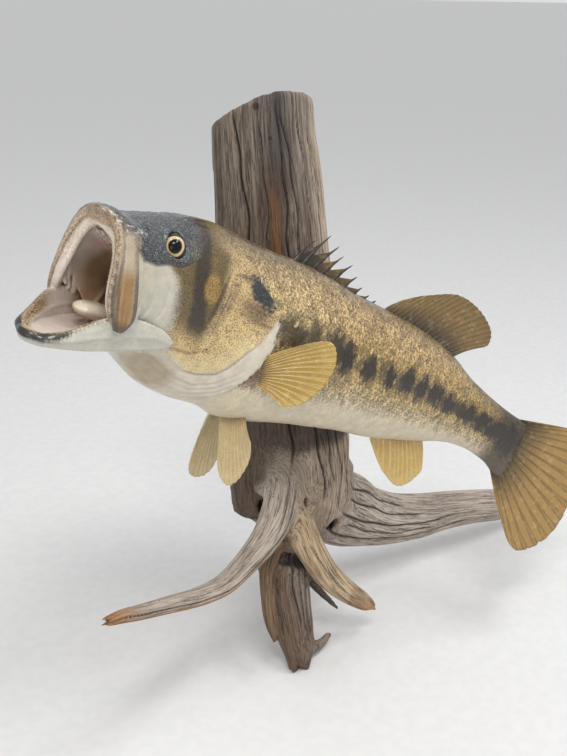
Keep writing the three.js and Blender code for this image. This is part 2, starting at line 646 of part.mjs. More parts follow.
function rootSolid(rows, seed) {
  const count = 12;
  const rings = rows.map(([centre, across, thick], row) => {
    const at = new THREE.Vector3(...centre);
    const before = new THREE.Vector3(...rows[Math.max(row - 1, 0)][0]);
    const after = new THREE.Vector3(...rows[Math.min(row + 1, rows.length - 1)][0]);
    const along = after.sub(before).normalize();
    const side = new THREE.Vector3().crossVectors(along, new THREE.Vector3(0, -1, 0)).normalize();
    const out = new THREE.Vector3().crossVectors(side, along).normalize();
    const ring = [];
    for (let i = 0; i < count; i += 1) {
      const angle = (i / count) * 2 * Math.PI;
      const wobble = 1 + 0.11 * ripple(angle, row * 34, seed);
      const point = at.clone();
      point.addScaledVector(side, Math.cos(angle) * across * wobble);
      point.addScaledVector(out, Math.sin(angle) * thick * wobble);
      ring.push([point.x, Math.min(point.y, 0), point.z]);
    }
    return ring;
  });
  return loft(rings);
}

// ---------------------------------------------------------------- assembly
// Every piece is bent into the pose before its neighbours are cut from it.
function fishSolids() {
  const gills = [bent(gillPlate(1, pieceGap)), bent(gillPlate(-1, pieceGap))];
  const trunk = cutBy(bent(fleshLoft(trunkStations)), [], gills);
  const tailStalk = bent(fleshLoft(stalkStations));
  const flesh = [swell(bent(fleshLoft(trunkStations))), swell(tailStalk), ...gills];
  const finOn = (fin, side) => cutBy(bent(finBlade(fin, side)), [], flesh);
  const pieces = {
    upper_jaw: bent(upperJaw()),
    tongue: bent(tongue()),
    eye_left: bent(eyeball(1)),
    eye_right: bent(eyeball(-1)),
    gill_cover_left: bent(gillPlate(1)),
    gill_cover_right: bent(gillPlate(-1)),
    trunk,
    tail_stalk: tailStalk,
    fin_dorsal_spiny: finOn(spinyDorsal, 1),
    fin_dorsal_soft: finOn(softDorsal, 1),
    fin_anal: finOn(analFin, 1),
    fin_tail: bent(finBlade(tailFin)),
    fin_pectoral_left: finOn(pectoralFin, 1),
    fin_pectoral_right: finOn(pectoralFin, -1),
    fin_pelvic_left: finOn(pelvicFin, 1),
    fin_pelvic_right: finOn(pelvicFinFar, -1),
  };
  pieces.lower_jaw = cutBy(bent(lowerJaw()), [pieces.upper_jaw]);
  pieces.head = cutBy(bent(headShell()), [
    pieces.upper_jaw, pieces.lower_jaw, pieces.tongue, pieces.eye_left, pieces.eye_right,
  ], gills);
  return pieces;
}

function woodSolids(fish) {
  const touching = [fish.trunk, fish.tail_stalk, fish.fin_pectoral_right, fish.fin_tail];
  const log = cutBy(logSolid(), [...touching, fish.fin_pelvic_right, fish.gill_cover_right]);
  const wood = { log };
  Object.entries(rootRows).forEach(([name, rows], i) => {
    const solid = rootSolid(rows, 0.9 + i * 1.37);
    wood[name] = cutBy(solid, [...Object.values(wood), fish.fin_tail, fish.fin_pelvic_right]);
  });
  return wood;
}

const finishOf = {
  head: 'head_skin',
  trunk: 'flank',
  tail_stalk: 'dark_back',
  upper_jaw: 'jaw',
  lower_jaw: 'pale_skin',
  tongue: 'tongue_cream',
  eye_left: 'eye_glass',
  eye_right: 'eye_glass',
  gill_cover_left: 'gill_gold',
  gill_cover_right: 'gill_gold',
  fin_dorsal_spiny: 'fin_dark',
  fin_dorsal_soft: 'fin_dark',
  fin_anal: 'fin_pale',
  fin_tail: 'fin_amber',
  fin_pectoral_left: 'fin_amber',
  fin_pectoral_right: 'fin_amber',
  fin_pelvic_left: 'fin_pale',
  fin_pelvic_right: 'fin_pale',
  log: 'weathered_wood',
};

function meshNamed(name, solid) {
  const [colour, roughness] = finish[finishOf[name] ?? 'root_wood'];
  const material = new THREE.MeshStandardMaterial({ color: colour, roughness, metalness: 0 });
  material.name = finishOf[name] ?? 'root_wood';
  const mesh = new THREE.Mesh(geometryOf(solid.getMesh()), material);
  mesh.geometry.computeVertexNormals();
  mesh.name = name;
  return mesh;
}

const model = new THREE.Group();
model.name = 'largemouth_bass_on_driftwood';
const fish = fishSolids();
const wood = woodSolids(fish);
for (const [name, solid] of Object.entries({ ...fish, ...wood })) {
  model.add(meshNamed(name, solid));
}

export default model;
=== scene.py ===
# A mounted largemouth bass on driftwood: one skin, scales over it, rayed fins, glass eyes and
# weathered wood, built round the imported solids. The fish is shaped straight, in millimetres
# (s behind the upper lip, h up, w across), and then bent into its pose in metres.
import math

import bpy
import numpy as np
from mathutils import Matrix, Vector
from mathutils.bvhtree import BVHTree


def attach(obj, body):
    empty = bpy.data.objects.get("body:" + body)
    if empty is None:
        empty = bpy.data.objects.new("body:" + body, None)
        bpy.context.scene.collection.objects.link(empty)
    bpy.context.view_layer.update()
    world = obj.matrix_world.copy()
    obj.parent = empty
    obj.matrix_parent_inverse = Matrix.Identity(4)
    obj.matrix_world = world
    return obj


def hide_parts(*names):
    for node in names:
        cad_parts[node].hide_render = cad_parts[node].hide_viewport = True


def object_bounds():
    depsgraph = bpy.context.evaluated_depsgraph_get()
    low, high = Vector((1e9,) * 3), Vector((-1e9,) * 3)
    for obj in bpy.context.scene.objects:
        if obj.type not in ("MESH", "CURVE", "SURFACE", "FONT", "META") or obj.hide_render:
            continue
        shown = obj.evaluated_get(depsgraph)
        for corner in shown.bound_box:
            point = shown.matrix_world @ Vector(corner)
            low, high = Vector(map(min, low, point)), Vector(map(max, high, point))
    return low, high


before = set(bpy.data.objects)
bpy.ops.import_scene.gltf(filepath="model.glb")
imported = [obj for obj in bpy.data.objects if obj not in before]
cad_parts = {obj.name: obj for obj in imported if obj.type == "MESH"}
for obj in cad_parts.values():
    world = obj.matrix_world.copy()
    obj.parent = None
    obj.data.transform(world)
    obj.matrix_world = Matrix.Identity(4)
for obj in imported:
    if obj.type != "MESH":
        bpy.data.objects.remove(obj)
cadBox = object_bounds()
mm = 0.001
scene = bpy.context.scene
scene.view_settings.view_transform = "Standard"
rng = np.random.default_rng(41)


# small maths
def smoothCurve(rows):
    # smooth curve through rows of (place, value)
    table = np.array(rows, float)
    places, values = table[:, 0], table[:, 1]
    before = np.r_[0, np.arange(len(places) - 1)]
    after = np.r_[np.arange(1, len(places)), len(places) - 1]
    slopes = (values[after] - values[before]) / (places[after] - places[before])

    def valueAt(x):
        x = np.asarray(x, float)
        i = np.clip(np.searchsorted(places, x) - 1, 0, len(places) - 2)
        span = places[i + 1] - places[i]
        t = np.clip((x - places[i]) / span, 0, 1)
        near = (1 + 2 * t) * (1 - t) ** 2 * values[i] + t * (1 - t) ** 2 * span * slopes[i]
        far = t * t * (3 - 2 * t) * values[i + 1] + t * t * (t - 1) * span * slopes[i + 1]
        return near + far

    return valueAt


def ease(x, low, high):
    t = np.clip((x - low) / (high - low), 0, 1)
    return t * t * (3 - 2 * t)


def blend(a, b, t):
    return a + (b - a) * t


def unit(vectors):
    # the same directions, each of length one
    return vectors / np.maximum(np.linalg.norm(vectors, axis=-1, keepdims=True), 1e-9)


def roundTurn(count):
    return np.arange(count) / count * 2 * np.pi


def ripple(x, y, z, size, seed=0.0):
    # cheap repeatable noise between about -1 and 1
    x, y, z = x / size, y / size, z / size
    total = np.sin(1.7 * x + 2.3 * np.sin(1.1 * y + seed) + seed)
    total = total + np.sin(2.1 * y + 1.9 * np.sin(1.3 * z + 2 * seed) + 1.3)
    total = total + np.sin(1.9 * z + 2.1 * np.sin(0.9 * x + 3 * seed) + 2.1)
    return total / 3


# the pose of the fish
fishPose = {
    "length": 530.0,  # upper lip to the root of the tail fin
    "middle": (-36.3, -102.9, 7.6),
    "yaw": -18.2, "pitch": 30.34, "roll": -3.07,
    "bend": (0.366, -0.465, 1.146),
    "neck": -0.0926,
}


def buildMidline(pose):
    s = np.linspace(-0.25, 1.3, 1551)
    t = s - 0.5
    turn = np.clip((0.36 - s) / 0.22, 0, 1)
    a, b, c = pose["bend"]
    angle = a * t + b * t**2 + c * t**3 + pose["neck"] * turn**2 * (3 - 2 * turn)
    x = np.r_[0, np.cumsum(np.cos(angle[1:]) + np.cos(angle[:-1]))] * 0.0005
    y = np.r_[0, np.cumsum(np.sin(angle[1:]) + np.sin(angle[:-1]))] * 0.0005
    return s, x - x[750], y - y[750], angle


midline = buildMidline(fishPose)
yaw, pitch, roll = (math.radians(fishPose[k]) for k in ("yaw", "pitch", "roll"))
fishTurn = np.array(
    Matrix.Rotation(yaw, 3, "Z") @ Matrix.Rotation(pitch, 3, "Y") @ Matrix.Rotation(roll, 3, "X")
)


def poseFish(points):
    # straight fish frame in millimetres to the model's frame in metres
    points = np.asarray(points, float).reshape(-1, 3)
    length = fishPose["length"]
    places, xs, ys, angles = midline
    along = points[:, 0] / length
    x, y, angle = (np.interp(along, places, values) for values in (xs, ys, angles))
    across = points[:, 2]
    local = np.stack(
        [x * length - np.sin(angle) * across, -y * length - np.cos(angle) * across, points[:, 1]], 1
    )
    return (local @ fishTurn.T + np.array(fishPose["middle"])) * mm


# mesh helpers
def makeMesh(name, points, faces, material, smooth=True):
    mesh = bpy.data.meshes.new(name)
    faces = np.asarray(faces)
    corners = faces.shape[1]
    mesh.vertices.add(len(points))
    mesh.vertices.foreach_set("co", np.asarray(points, np.float32).ravel())
    mesh.loops.add(faces.size)
    mesh.loops.foreach_set("vertex_index", faces.astype(np.int32).ravel())
    mesh.polygons.add(len(faces))
    mesh.polygons.foreach_set("loop_start", np.arange(0, faces.size, corners, dtype=np.int32))
    mesh.polygons.foreach_set("loop_total", np.full(len(faces), corners, np.int32))
    mesh.polygons.foreach_set("use_smooth", np.full(len(faces), smooth))
    mesh.update(calc_edges=True)
    mesh.validate()
    mesh.materials.append(material)
    piece = bpy.data.objects.new(name, mesh)
    scene.collection.objects.link(piece)
    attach(piece, "root")
    return piece


def paintValues(piece, **layers):
    for name, values in layers.items():
        values = np.asarray(values, np.float32)
        if name == "markings":
            layer = piece.data.color_attributes.new(name, "FLOAT_COLOR", "POINT")
            layer.data.foreach_set("color", np.c_[values, np.ones(len(values), np.float32)].ravel())
        elif values.ndim == 1:
            piece.data.attributes.new(name, "FLOAT", "POINT").data.foreach_set("value", values)
        else:
            layer = piece.data.attributes.new(name, "FLOAT_VECTOR", "POINT")
            layer.data.foreach_set("vector", values.ravel())


def cornerNormals(points, faces):
    a, b, c = (points[faces[:, k]] for k in (0, 1, 2))
    flat = np.cross(b - a, c - a)
    if faces.shape[1] == 4:
        flat = flat + np.cross(c - a, points[faces[:, 3]] - a)
    total = np.zeros_like(points)
    for k in range(faces.shape[1]):
        for axis in range(3):
            total[:, axis] += np.bincount(faces[:, k], flat[:, axis], len(points))
    return unit(total)


def tubeFaces(rows, around):
    i = np.arange(rows - 1)[:, None] * around + np.arange(around)[None]
    j = np.arange(rows - 1)[:, None] * around + (np.arange(around)[None] + 1) % around
    return np.stack([i, j, j + around, i + around], -1).reshape(-1, 4)


def gridFaces(rows, columns):
    # numbers of the points of a grid, and its quads
    number = np.arange(rows * columns).reshape(rows, columns)
    corners = (number[:-1, :-1], number[1:, :-1], number[1:, 1:], number[:-1, 1:])
    return number, np.stack(corners, -1).reshape(-1, 4)


def joinParts(parts):
    # several meshes as one: every part has points, faces and a list of values for its points
    starts = np.cumsum([0] + [len(points) for points, *_ in parts])
    points = np.vstack([part[0] for part in parts])
    faces = np.vstack([part[1] + start for part, start in zip(parts, starts)])
    values = {key: np.concatenate([part[2][key] for part in parts]) for key in parts[0][2]}
    return points, faces, values


# shape of the body, as on the solids
bodyShape = {
    "back": [
        (14, 32.5), (20, 34.7), (31, 36), (54, 43.7), (77, 52), (101, 58), (113, 60), (134, 60.9),
        (156, 61), (178, 61.9), (201, 64.2), (222, 65.8), (246, 65.5), (272, 63.2), (309, 63.5),
        (355, 62.6), (395, 58), (420, 51), (442, 42.5), (474, 34.5), (510, 28), (534, 26.4),
    ],
    "belly": [
        (14, 4), (20, -18), (30, -34), (45, -46), (60, -54), (72, -62), (92, -71.8), (112, -80),
        (141, -83.4), (175, -82), (195, -85), (229, -79.5), (260, -71), (288, -65), (320, -58.4),
        (357, -53), (385, -46), (420, -36.1), (440, -29), (456, -25.5), (480, -24.7), (505, -29),
        (522, -37),
    ],
    "half": [
        (14, 20), (20, 26), (30, 31.5), (45, 34.5), (60, 35.5), (80, 37), (100, 39), (125, 41.5),
        (160, 43), (200, 44), (240, 44), (275, 43), (305, 40.5), (335, 37), (365, 32.5), (400, 26),
        (430, 21), (460, 17), (485, 14), (510, 10.5), (526, 8),
    ],
    "widest": [
        (14, 14), (30, 4), (60, -4), (100, -10), (160, -12), (240, -10), (330, -2), (420, 4),
        (480, 3), (526, -4),
    ],
    # station, roof, floor and half width of the open mouth and throat
    "hollow": [
        (6, 25, -75, 23), (20, 21, -72, 25.5), (38, 16.5, -58, 27.6), (62, 11, -48, 28),
        (84, 5, -45, 25.6), (106, -5, -41, 18.5), (125, -18, -33, 7),
    ],
    # station, top, bottom and half width of the skin between the jaw bones
    "chin": [
        (-10, -66.6, -70.6, 3), (-2, -65.2, -70.8, 12), (10, -62, -69, 20),
        (25, -57.6, -65.2, 25.5), (42, -52.6, -61, 30), (58, -48, -57, 32.5), (69, -45.6, -54.6, 34),
    ],
    "sink": 0.55,  # the skin lies this far inside the solids, under the scales
}
backAt, bellyAt, halfAt, widestAt = (
    smoothCurve(bodyShape[k]) for k in ("back", "belly", "half", "widest")
)


def fullnessAt(s):
    return 2.05 + 0.35 * np.clip((150 - s) / 110, 0, 1)


# jaws, one side: from the middle of the lip to the end of the maxilla, and chin to joint
jawShape = {
    "upper": [  # inner edge of the tooth band, lip edge, rear edge
        ((11, 23.5, 0), (2, 31.5, 0), (16.5, 34.9, 0)),
        ((12.2, 22.9, 4), (4, 31.8, 5), (17, 34.6, 7)),
        ((14.8, 21.1, 8), (7.5, 30.6, 9.5), (18, 33, 15)),
        ((17, 18.6, 12.5), (10.8, 27, 14.5), (19, 29, 24)),
        ((18.5, 13.7, 16.5), (13, 19.8, 20), (20.5, 22, 30)),
        ((19.6, 6.8, 20), (14.1, 11.1, 24), (23.5, 12, 34.5)),
        ((21, -2, 22.5), (15.5, -1, 27.6), (28, 2, 37.5)),
        ((22.3, -13, 24.7), (17.8, -13, 29.7), (34, -10, 39.5)),
        ((24.4, -24, 27.3), (21, -25, 31.6), (40, -22, 40.6)),
        ((28, -33, 31), (26, -34.5, 34), (42.5, -32, 40.6)),
        ((34, -39, 36), (32, -41, 37), (38.5, -41, 39.3)),
    ],
    "lower": [  # rim, outer, bottom and inner edge
        ((-11.4, -64.8, 0), (-12.5, -68.4, 0), (-8.4, -73, 0), (-4.6, -67.2, 0)),
        ((-10.4, -64.4, 4.2), (-11.1, -67.8, 5.2), (-7.2, -72.4, 4.4), (-4.6, -66.8, 3)),
        ((-5.4, -63.5, 9), (-6.9, -67.4, 11), (-3.3, -71.8, 9.6), (-0.9, -66, 6.6)),
        ((-1.8, -60, 15), (-3, -65.2, 17.3), (0.5, -70, 14.8), (2.6, -63.6, 11.6)),
        ((5.8, -54.9, 20), (5.2, -61.4, 22.6), (8, -68, 19.2), (9.6, -60.4, 16.2)),
        ((15, -46.6, 25), (15.2, -56, 27.6), (17.5, -65.4, 23.2), (18.4, -56, 20.6)),
        ((25, -37.8, 29.6), (27, -50, 32), (29.5, -62, 27.2), (29, -51, 25)),
        ((41, -31.5, 32.5), (43, -44.4, 35), (45, -57, 30.8), (42.5, -45, 28.8)),
        ((59, -29, 35), (61, -39.6, 37.6), (63, -51.2, 34), (59.5, -41, 31.6)),
        ((77, -29.5, 37.4), (79.5, -36, 39.4), (81, -45.4, 37), (77, -37.6, 33.8)),
        ((90, -33, 38.6), (93, -36, 39.8), (92.5, -41, 38.4), (90, -38, 36.4)),
    ],
    "plate": 1.5,  # half thickness of the bone and skin
    "samples": 44,
}
eyeShape = {
    "at": (61.7, 29.6), "depth": 29.2,  # where the eye meets the skin
    "faces": (-0.56, 0.14, 0.815),  # a little forwards and up
    "radius": 10.4, "proud": 2.9, "opening": 8.1,
    "nostrils": [(29.5, 30, 21.5), (37.5, 33, 20.5)],
}


def refineRows(rows, count):
    # rows of points, resampled smoothly into more rows
    rows = np.array(rows, float)
    steps = np.arange(len(rows))
    wanted = np.linspace(0, len(rows) - 1, count)
    fine = np.empty((count,) + rows.shape[1:])
    for i in range(rows.shape[1]):
        for k in range(3):
            fine[:, i, k] = smoothCurve(np.c_[steps, rows[:, i, k]])(wanted)
    return fine


upperRows = refineRows(jawShape["upper"], jawShape["samples"])
lowerRows = refineRows(jawShape["lower"], jawShape["samples"])


def lineDistance(s, h, line):
    # distance to a line in the side view, which side of it, and the share of the way along
    line = np.asarray(line, float)
    best = np.full(np.shape(s), 1e9)
    side = np.zeros(np.shape(s))
    share = np.zeros(np.shape(s))
    lengths = np.linalg.norm(np.diff(line, axis=0), axis=1)
    starts = np.r_[0, np.cumsum(lengths)]
    for i, (a, b) in enumerate(zip(line[:-1], line[1:])):
        d = b - a
        t = np.clip(((s - a[0]) * d[0] + (h - a[1]) * d[1]) / (d @ d), 0, 1)
        x, y = s - a[0] - t * d[0], h - a[1] - t * d[1]
        away = np.hypot(x, y)
        closer = away < best
        best = np.where(closer, away, best)
        side = np.where(closer, np.sign(d[0] * (h - a[1]) - d[1] * (s - a[0])), side)
        share = np.where(closer, (starts[i] + t * lengths[i]) / starts[-1], share)
    return best, side, share


def outlineDistance(s, h, outline):
    # signed distance to a closed outline, negative inside
    line = np.vstack([outline, outline[:1]])
    best, _, _ = lineDistance(s, h, line)
    inside = np.zeros(np.shape(s), bool)
    for (x0, y0), (x1, y1) in zip(line[:-1], line[1:]):
        spans = (y0 > h) != (y1 > h)
        if y0 != y1:
            inside ^= spans & (s < (x1 - x0) * (h - y0) / (y1 - y0) + x0)
    return np.where(inside, -best, best)


# the skin, as a distance field on a grid that is fine at the head
skinGrid = {
    "s": [(-24, 0.92), (60, 0.92), (130, 1.0), (200, 2.6), (500, 3.2), (534, 1.8)],
    "h": [(-104, 1.05), (74, 1.05)],
    "w": [(-1.9, 0.95), (52, 0.95)],
}


def gridPlaces(knots):
    at, step = zip(*knots)
    places = [at[0]]
    while places[-1] < at[-1]:
        places.append(places[-1] + np.interp(places[-1], at, step))
    return np.array(places)


def sectionField(h, w, top, bottom, half, middle, fullness):
    reach = np.where(h > middle, top - middle, middle - bottom)
    u = np.abs(w) / half
    v = np.abs(h - middle) / reach
    size = (u**fullness + v**fullness) ** (1 / fullness) + 1e-6
    return np.sqrt(w * w + (h - middle) ** 2) * (1 - 1 / size)


def tableField(s, h, w, rows, fullness):
    rows = np.array(rows, float)
    top, bottom, half = (smoothCurve(rows[:, [0, k]])(s) for k in (1, 2, 3))
    return sectionField(h, w, top, bottom, half, (top + bottom) / 2, fullness)


def softMin(a, b, reach):
    overlap = np.maximum(reach - np.abs(a - b), 0) / reach
    return np.minimum(a, b) - overlap * overlap * reach / 4


def softMax(a, b, reach):
    return -softMin(-a, -b, reach)


class SkinField:
    def __init__(self):
        self.axes = [gridPlaces(skinGrid[k]) for k in "shw"]
        s, h, w = np.meshgrid(*self.axes, indexing="ij", sparse=True)
        self.parts = (s, h, w)
        self.values = np.full([len(a) for a in self.axes], 99.0)

    def block(self, low, high):
        cut = []
        for k in range(3):
            first = max(np.searchsorted(self.axes[k], low[k]) - 1, 0)
            last = min(np.searchsorted(self.axes[k], high[k]) + 1, len(self.axes[k]))
            cut.append(slice(first, last))
        return tuple(cut)

    def blockPoints(self, cut):
        return np.stack(np.meshgrid(*[self.axes[k][cut[k]] for k in range(3)], indexing="ij"), -1)

    def addTube(self, line, radii, reach=1.0, carve=False):
        # a round bar along a line, joined to or cut from the rest
        line = np.asarray(line, float)
        radii = np.broadcast_to(np.asarray(radii, float), len(line))
        for i in range(len(line) - 1):
            a, b = line[i], line[i + 1]
            pad = max(radii[i], radii[i + 1]) + reach + 1.5
            cut = self.block(np.minimum(a, b) - pad, np.maximum(a, b) + pad)
            p = self.blockPoints(cut)
            if p.size == 0:
                continue
            d = b - a
            t = np.clip(((p - a) @ d) / max(d @ d, 1e-9), 0, 1)
            away = np.linalg.norm(p - a - t[..., None] * d, axis=-1)
            away = away - (radii[i] + t * (radii[i + 1] - radii[i]))
            if carve:
                self.values[cut] = softMax(self.values[cut], -away, reach)
            else:
                self.values[cut] = softMin(self.values[cut], away, reach)

    def addSheet(self, rows, radii, reach=1.0):
        # a skin of even thickness over rows of points
        rows = np.asarray(rows, float)
        radii = np.broadcast_to(np.asarray(radii, float), rows.shape[:2])
        for i in range(rows.shape[0] - 1):
            for j in range(rows.shape[1] - 1):
                ring = [(i, j), (i + 1, j), (i + 1, j + 1), (i, j + 1)]
                for corners in (ring[:3], ring[:1] + ring[2:]):
                    self.addTriangle([rows[q] for q in corners], [radii[q] for q in corners], reach)

    def addTriangle(self, corners, radii, reach):
        a, b, c = corners
        pad = max(radii) + reach + 1.5
        cut = self.block(np.min(corners, axis=0) - pad, np.max(corners, axis=0) + pad)
        p = self.blockPoints(cut)
        normal = np.cross(b - a, c - a)
        area = normal @ normal
        if p.size == 0 or area < 1e-8:
            return
        best = np.full(p.shape[:3], 1e9)
        inside = np.ones(p.shape[:3], bool)
        for start, end in ((a, b), (b, c), (c, a)):
            d = end - start
            t = np.clip(((p - start) @ d) / max(d @ d, 1e-9), 0, 1)
            gap = p - start - t[..., None] * d
            best = np.minimum(best, (gap * gap).sum(-1))
            inside &= np.cross(d, p - start) @ normal >= 0
        flat = ((p - a) @ normal) ** 2 / area
        away = np.sqrt(np.where(inside, flat, best)) - float(np.mean(radii))
        self.values[cut] = softMin(self.values[cut], away, reach)


def bodyField(s, h, w):
    sink = bodyShape["sink"]
    top, bottom, half = backAt(s) - sink, bellyAt(s) + sink, halfAt(s) - sink
    body = sectionField(h, w, top, bottom, half, widestAt(s), fullnessAt(s))
    body = softMax(body, 15.5 - s, 3.0)
    return softMax(body, s - 528.0, 4.0)


def addUpperJaw(field):
    thick = jawShape["plate"]
    middle = np.array([30.0, -15.0, 0.0])
    inset = unit(middle - upperRows)
    inner, lip, rear = (upperRows[:, k] + inset[:, k] * thick for k in range(3))
    field.addSheet(np.stack([inner, (inner + lip) / 2, lip], 1), thick)
    field.addSheet(np.stack([lip, (lip + rear) / 2, rear], 1), (thick - 0.2, thick - 0.3, thick - 0.5))
    for share in (0.2, 0.45, 0.7, 0.95):  # flesh behind the lip
        count = len(lip)
        depth = np.linspace(1, 0.35, count)[:, None]
        target = inner + (lip + (rear - lip) * share - inner) * (1 if share < 0.5 else depth)
        field.addSheet(np.stack([inner, (inner + target) / 2, target], 1), 2.0)
    field.addTube(lip + (rear - lip) * 0.04, 2.0, 0.7)
    outwards = unit(np.cross(np.gradient(lip, axis=0), rear - lip))
    outwards *= np.sign((outwards * (lip - middle)).sum(1, keepdims=True))
    ridge = lip + (rear - lip) * 0.5 + outwards * 0.6
    fade = np.interp(np.arange(len(ridge)), [0, 8, 14, 34, 43], [0.8, 1.4, 2.3, 2.4, 1.2])
    field.addTube(ridge[4:], fade[4:], 1.2)
    edge = lip + (rear - lip) * 0.97 + outwards * 0.2
    radii = np.interp(np.arange(len(edge) - 10), [0, 8, 26, 33], [0.8, 1.5, 1.9, 1.7])
    field.addTube(edge[10:], radii, 0.9)
    # loose skin from behind the maxilla to the cheek
    start = lip[12:] + (rear[12:] - lip[12:]) * 0.72
    end = rear[12:] + np.array([9.0, 0, 0])
    end[:, 2] = halfAt(end[:, 0]) - 1.5
    field.addSheet(np.stack([start, (start * 1.1 + end * 0.9) / 2 - [0, 0, 1.2], end], 1), 1.1, 2.5)


def addLowerJaw(field):
    inset = unit(lowerRows.mean(1, keepdims=True) - lowerRows)
    rim, outer, bottom, inner = ((lowerRows + inset * 1.4)[:, k] for k in range(4))
    field.addSheet(np.stack([rim, outer, (outer + bottom) / 2, bottom], 1), 1.5)
    field.addSheet(np.stack([rim, inner, bottom], 1), 1.5)
    field.addSheet(np.stack([(rim + outer) / 2, (inner + bottom) / 2], 1), 2.0)
    field.addSheet(np.stack([outer, inner], 1), 2.0)
    s, h, w = field.parts
    first, last = np.argmax(field.axes[0] > -14), int((field.axes[0] < 78).sum())
    s = s[first:last]
    chin = tableField(s, h, w, bodyShape["chin"], 2.6)
    chin = softMax(chin, np.maximum(-10 - s, s - 76), 2.0)
    field.values[first:last] = softMin(field.values[first:last], chin, 2.5)


def mouthRidges():
    # folds of the palate, gill arches in the throat and the corner of the mouth
    ridges = []
    for spread, reach in ((4, 1.6), (10, 1.9), (16.5, 2.0)):
        line = [
            (19, 17, spread * 0.8), (34, 13.5, spread), (50, 8.5, spread * 1.1), (68, 3, spread * 1.15),
            (86, -5, spread), (100, -13, spread * 0.7),
        ]
        ridges.append((line, [reach * k for k in (0.5, 1, 1.1, 1.1, 1, 0.7)], 2.2))
    for s, reach in ((72, 1.5), (82, 1.8), (92, 1.8), (102, 1.6)):
        side = float(np.interp(s, (62, 84, 106), (29.5, 26.5, 18)))
        line = [
            (s + 6, 0, side * 0.72), (s + 2, -8, side * 0.93), (s, -20, side), (s - 5, -33, side * 0.9),
            (s - 12, -41, side * 0.6),
        ]
        ridges.append((line, reach, 1.6))
    for s, h, w, k in ((24, -8, 27, 1.2), (30, -10, 28.5, 1.3), (37, -12, 29.5, 1.3)):
        line = [(s - 2, h + 16, w - 3), (s, h, w), (s + 5, h - 14, w + 0.5), (s + 11, h - 22, w + 1)]
        ridges.append((line, k, 1.4))
    return ridges


def netSurface(values, axes):
    # closed surface where the field is zero, one point per crossed cell
    inside = values < 0
    count = np.zeros([n - 1 for n in values.shape], np.int8)
    for i, j, k in np.ndindex(2, 2, 2):
        count += inside[i:i + count.shape[0], j:j + count.shape[1], k:k + count.shape[2]]
    cells = np.argwhere((count > 0) & (count < 8))
    total = np.zeros((len(cells), 3))
    hits = np.zeros(len(cells))
    units = np.eye(3, dtype=int)
    for axis in range(3):
        one, two = units[(axis + 1) % 3], units[(axis + 2) % 3]
        for i, j in np.ndindex(2, 2):
            start = cells + i * one + j * two
            f0 = values[tuple(start.T)]
            f1 = values[tuple((start + units[axis]).T)]
            cross = (f0 < 0) != (f1 < 0)
            t = f0[cross] / (f0[cross] - f1[cross])
            total[cross] += start[cross] + t[:, None] * units[axis]
            hits[cross] += 1
    total /= hits[:, None]
    points = np.stack([np.interp(total[:, k], np.arange(len(axes[k])), axes[k]) for k in range(3)], 1)
    number = np.full(count.shape, -1)
    number[tuple(cells.T)] = np.arange(len(cells))
    faces = []
    for axis in range(3):
        one, two = units[(axis + 1) % 3], units[(axis + 2) % 3]
        low = [slice(0, n) for n in values.shape]
        high = list(low)
        low[axis], high[axis] = slice(0, -1), slice(1, None)
        edges = np.argwhere(inside[tuple(low)] != inside[tuple(high)])
        fits = np.ones(len(edges), bool)
        for k in range(3):
            if k != axis:
                fits &= (edges[:, k] > 0) & (edges[:, k] < count.shape[k])
        edges = edges[fits]
        ring = [edges - one - two, edges - two, edges, edges - one]
        quad = np.stack([number[tuple(r.T)] for r in ring], 1)
        flip = ~inside[tuple(edges.T)]
        quad[flip] = quad[flip][:, ::-1]
        faces.append(quad)
    return points, np.vstack(faces)


def largestPart(points, faces):
    # keeps the biggest joined surface and drops hidden bubbles
    label = np.arange(len(points))
    while True:
        low = label[faces].min(1)
        new = label.copy()
        np.minimum.at(new, faces, low[:, None])
        new = new[new]
        if (new == label).all():
            break
        label = new
    keep = label == np.bincount(label).argmax()
    renumber = np.cumsum(keep) - 1
    return points[keep], renumber[faces[keep[faces[:, 0]]]]


def relax(points, faces, rounds, strength=0.5):
    ends = np.vstack([faces[:, [0, 1]], faces[:, [1, 2]], faces[:, [2, 3]], faces[:, [3, 0]]])
    degree = np.bincount(ends.ravel(), minlength=len(points))[:, None]
    for _ in range(rounds):
        total = np.zeros_like(points)
        for axis in range(3):
            total[:, axis] += np.bincount(ends[:, 0], points[ends[:, 1], axis], len(points))
            total[:, axis] += np.bincount(ends[:, 1], points[ends[:, 0], axis], len(points))
        points = points + strength * (total / degree - points)
    return points


def eyePlace(side):
    # middle of the eyeball and the way it faces
    faces = np.array(eyeShape["faces"]) * [1, 1, side]
    faces /= np.linalg.norm(faces)
    front = np.array([*eyeShape["at"], side * eyeShape["depth"]])
    return front + faces * (eyeShape["proud"] - eyeShape["radius"]), faces


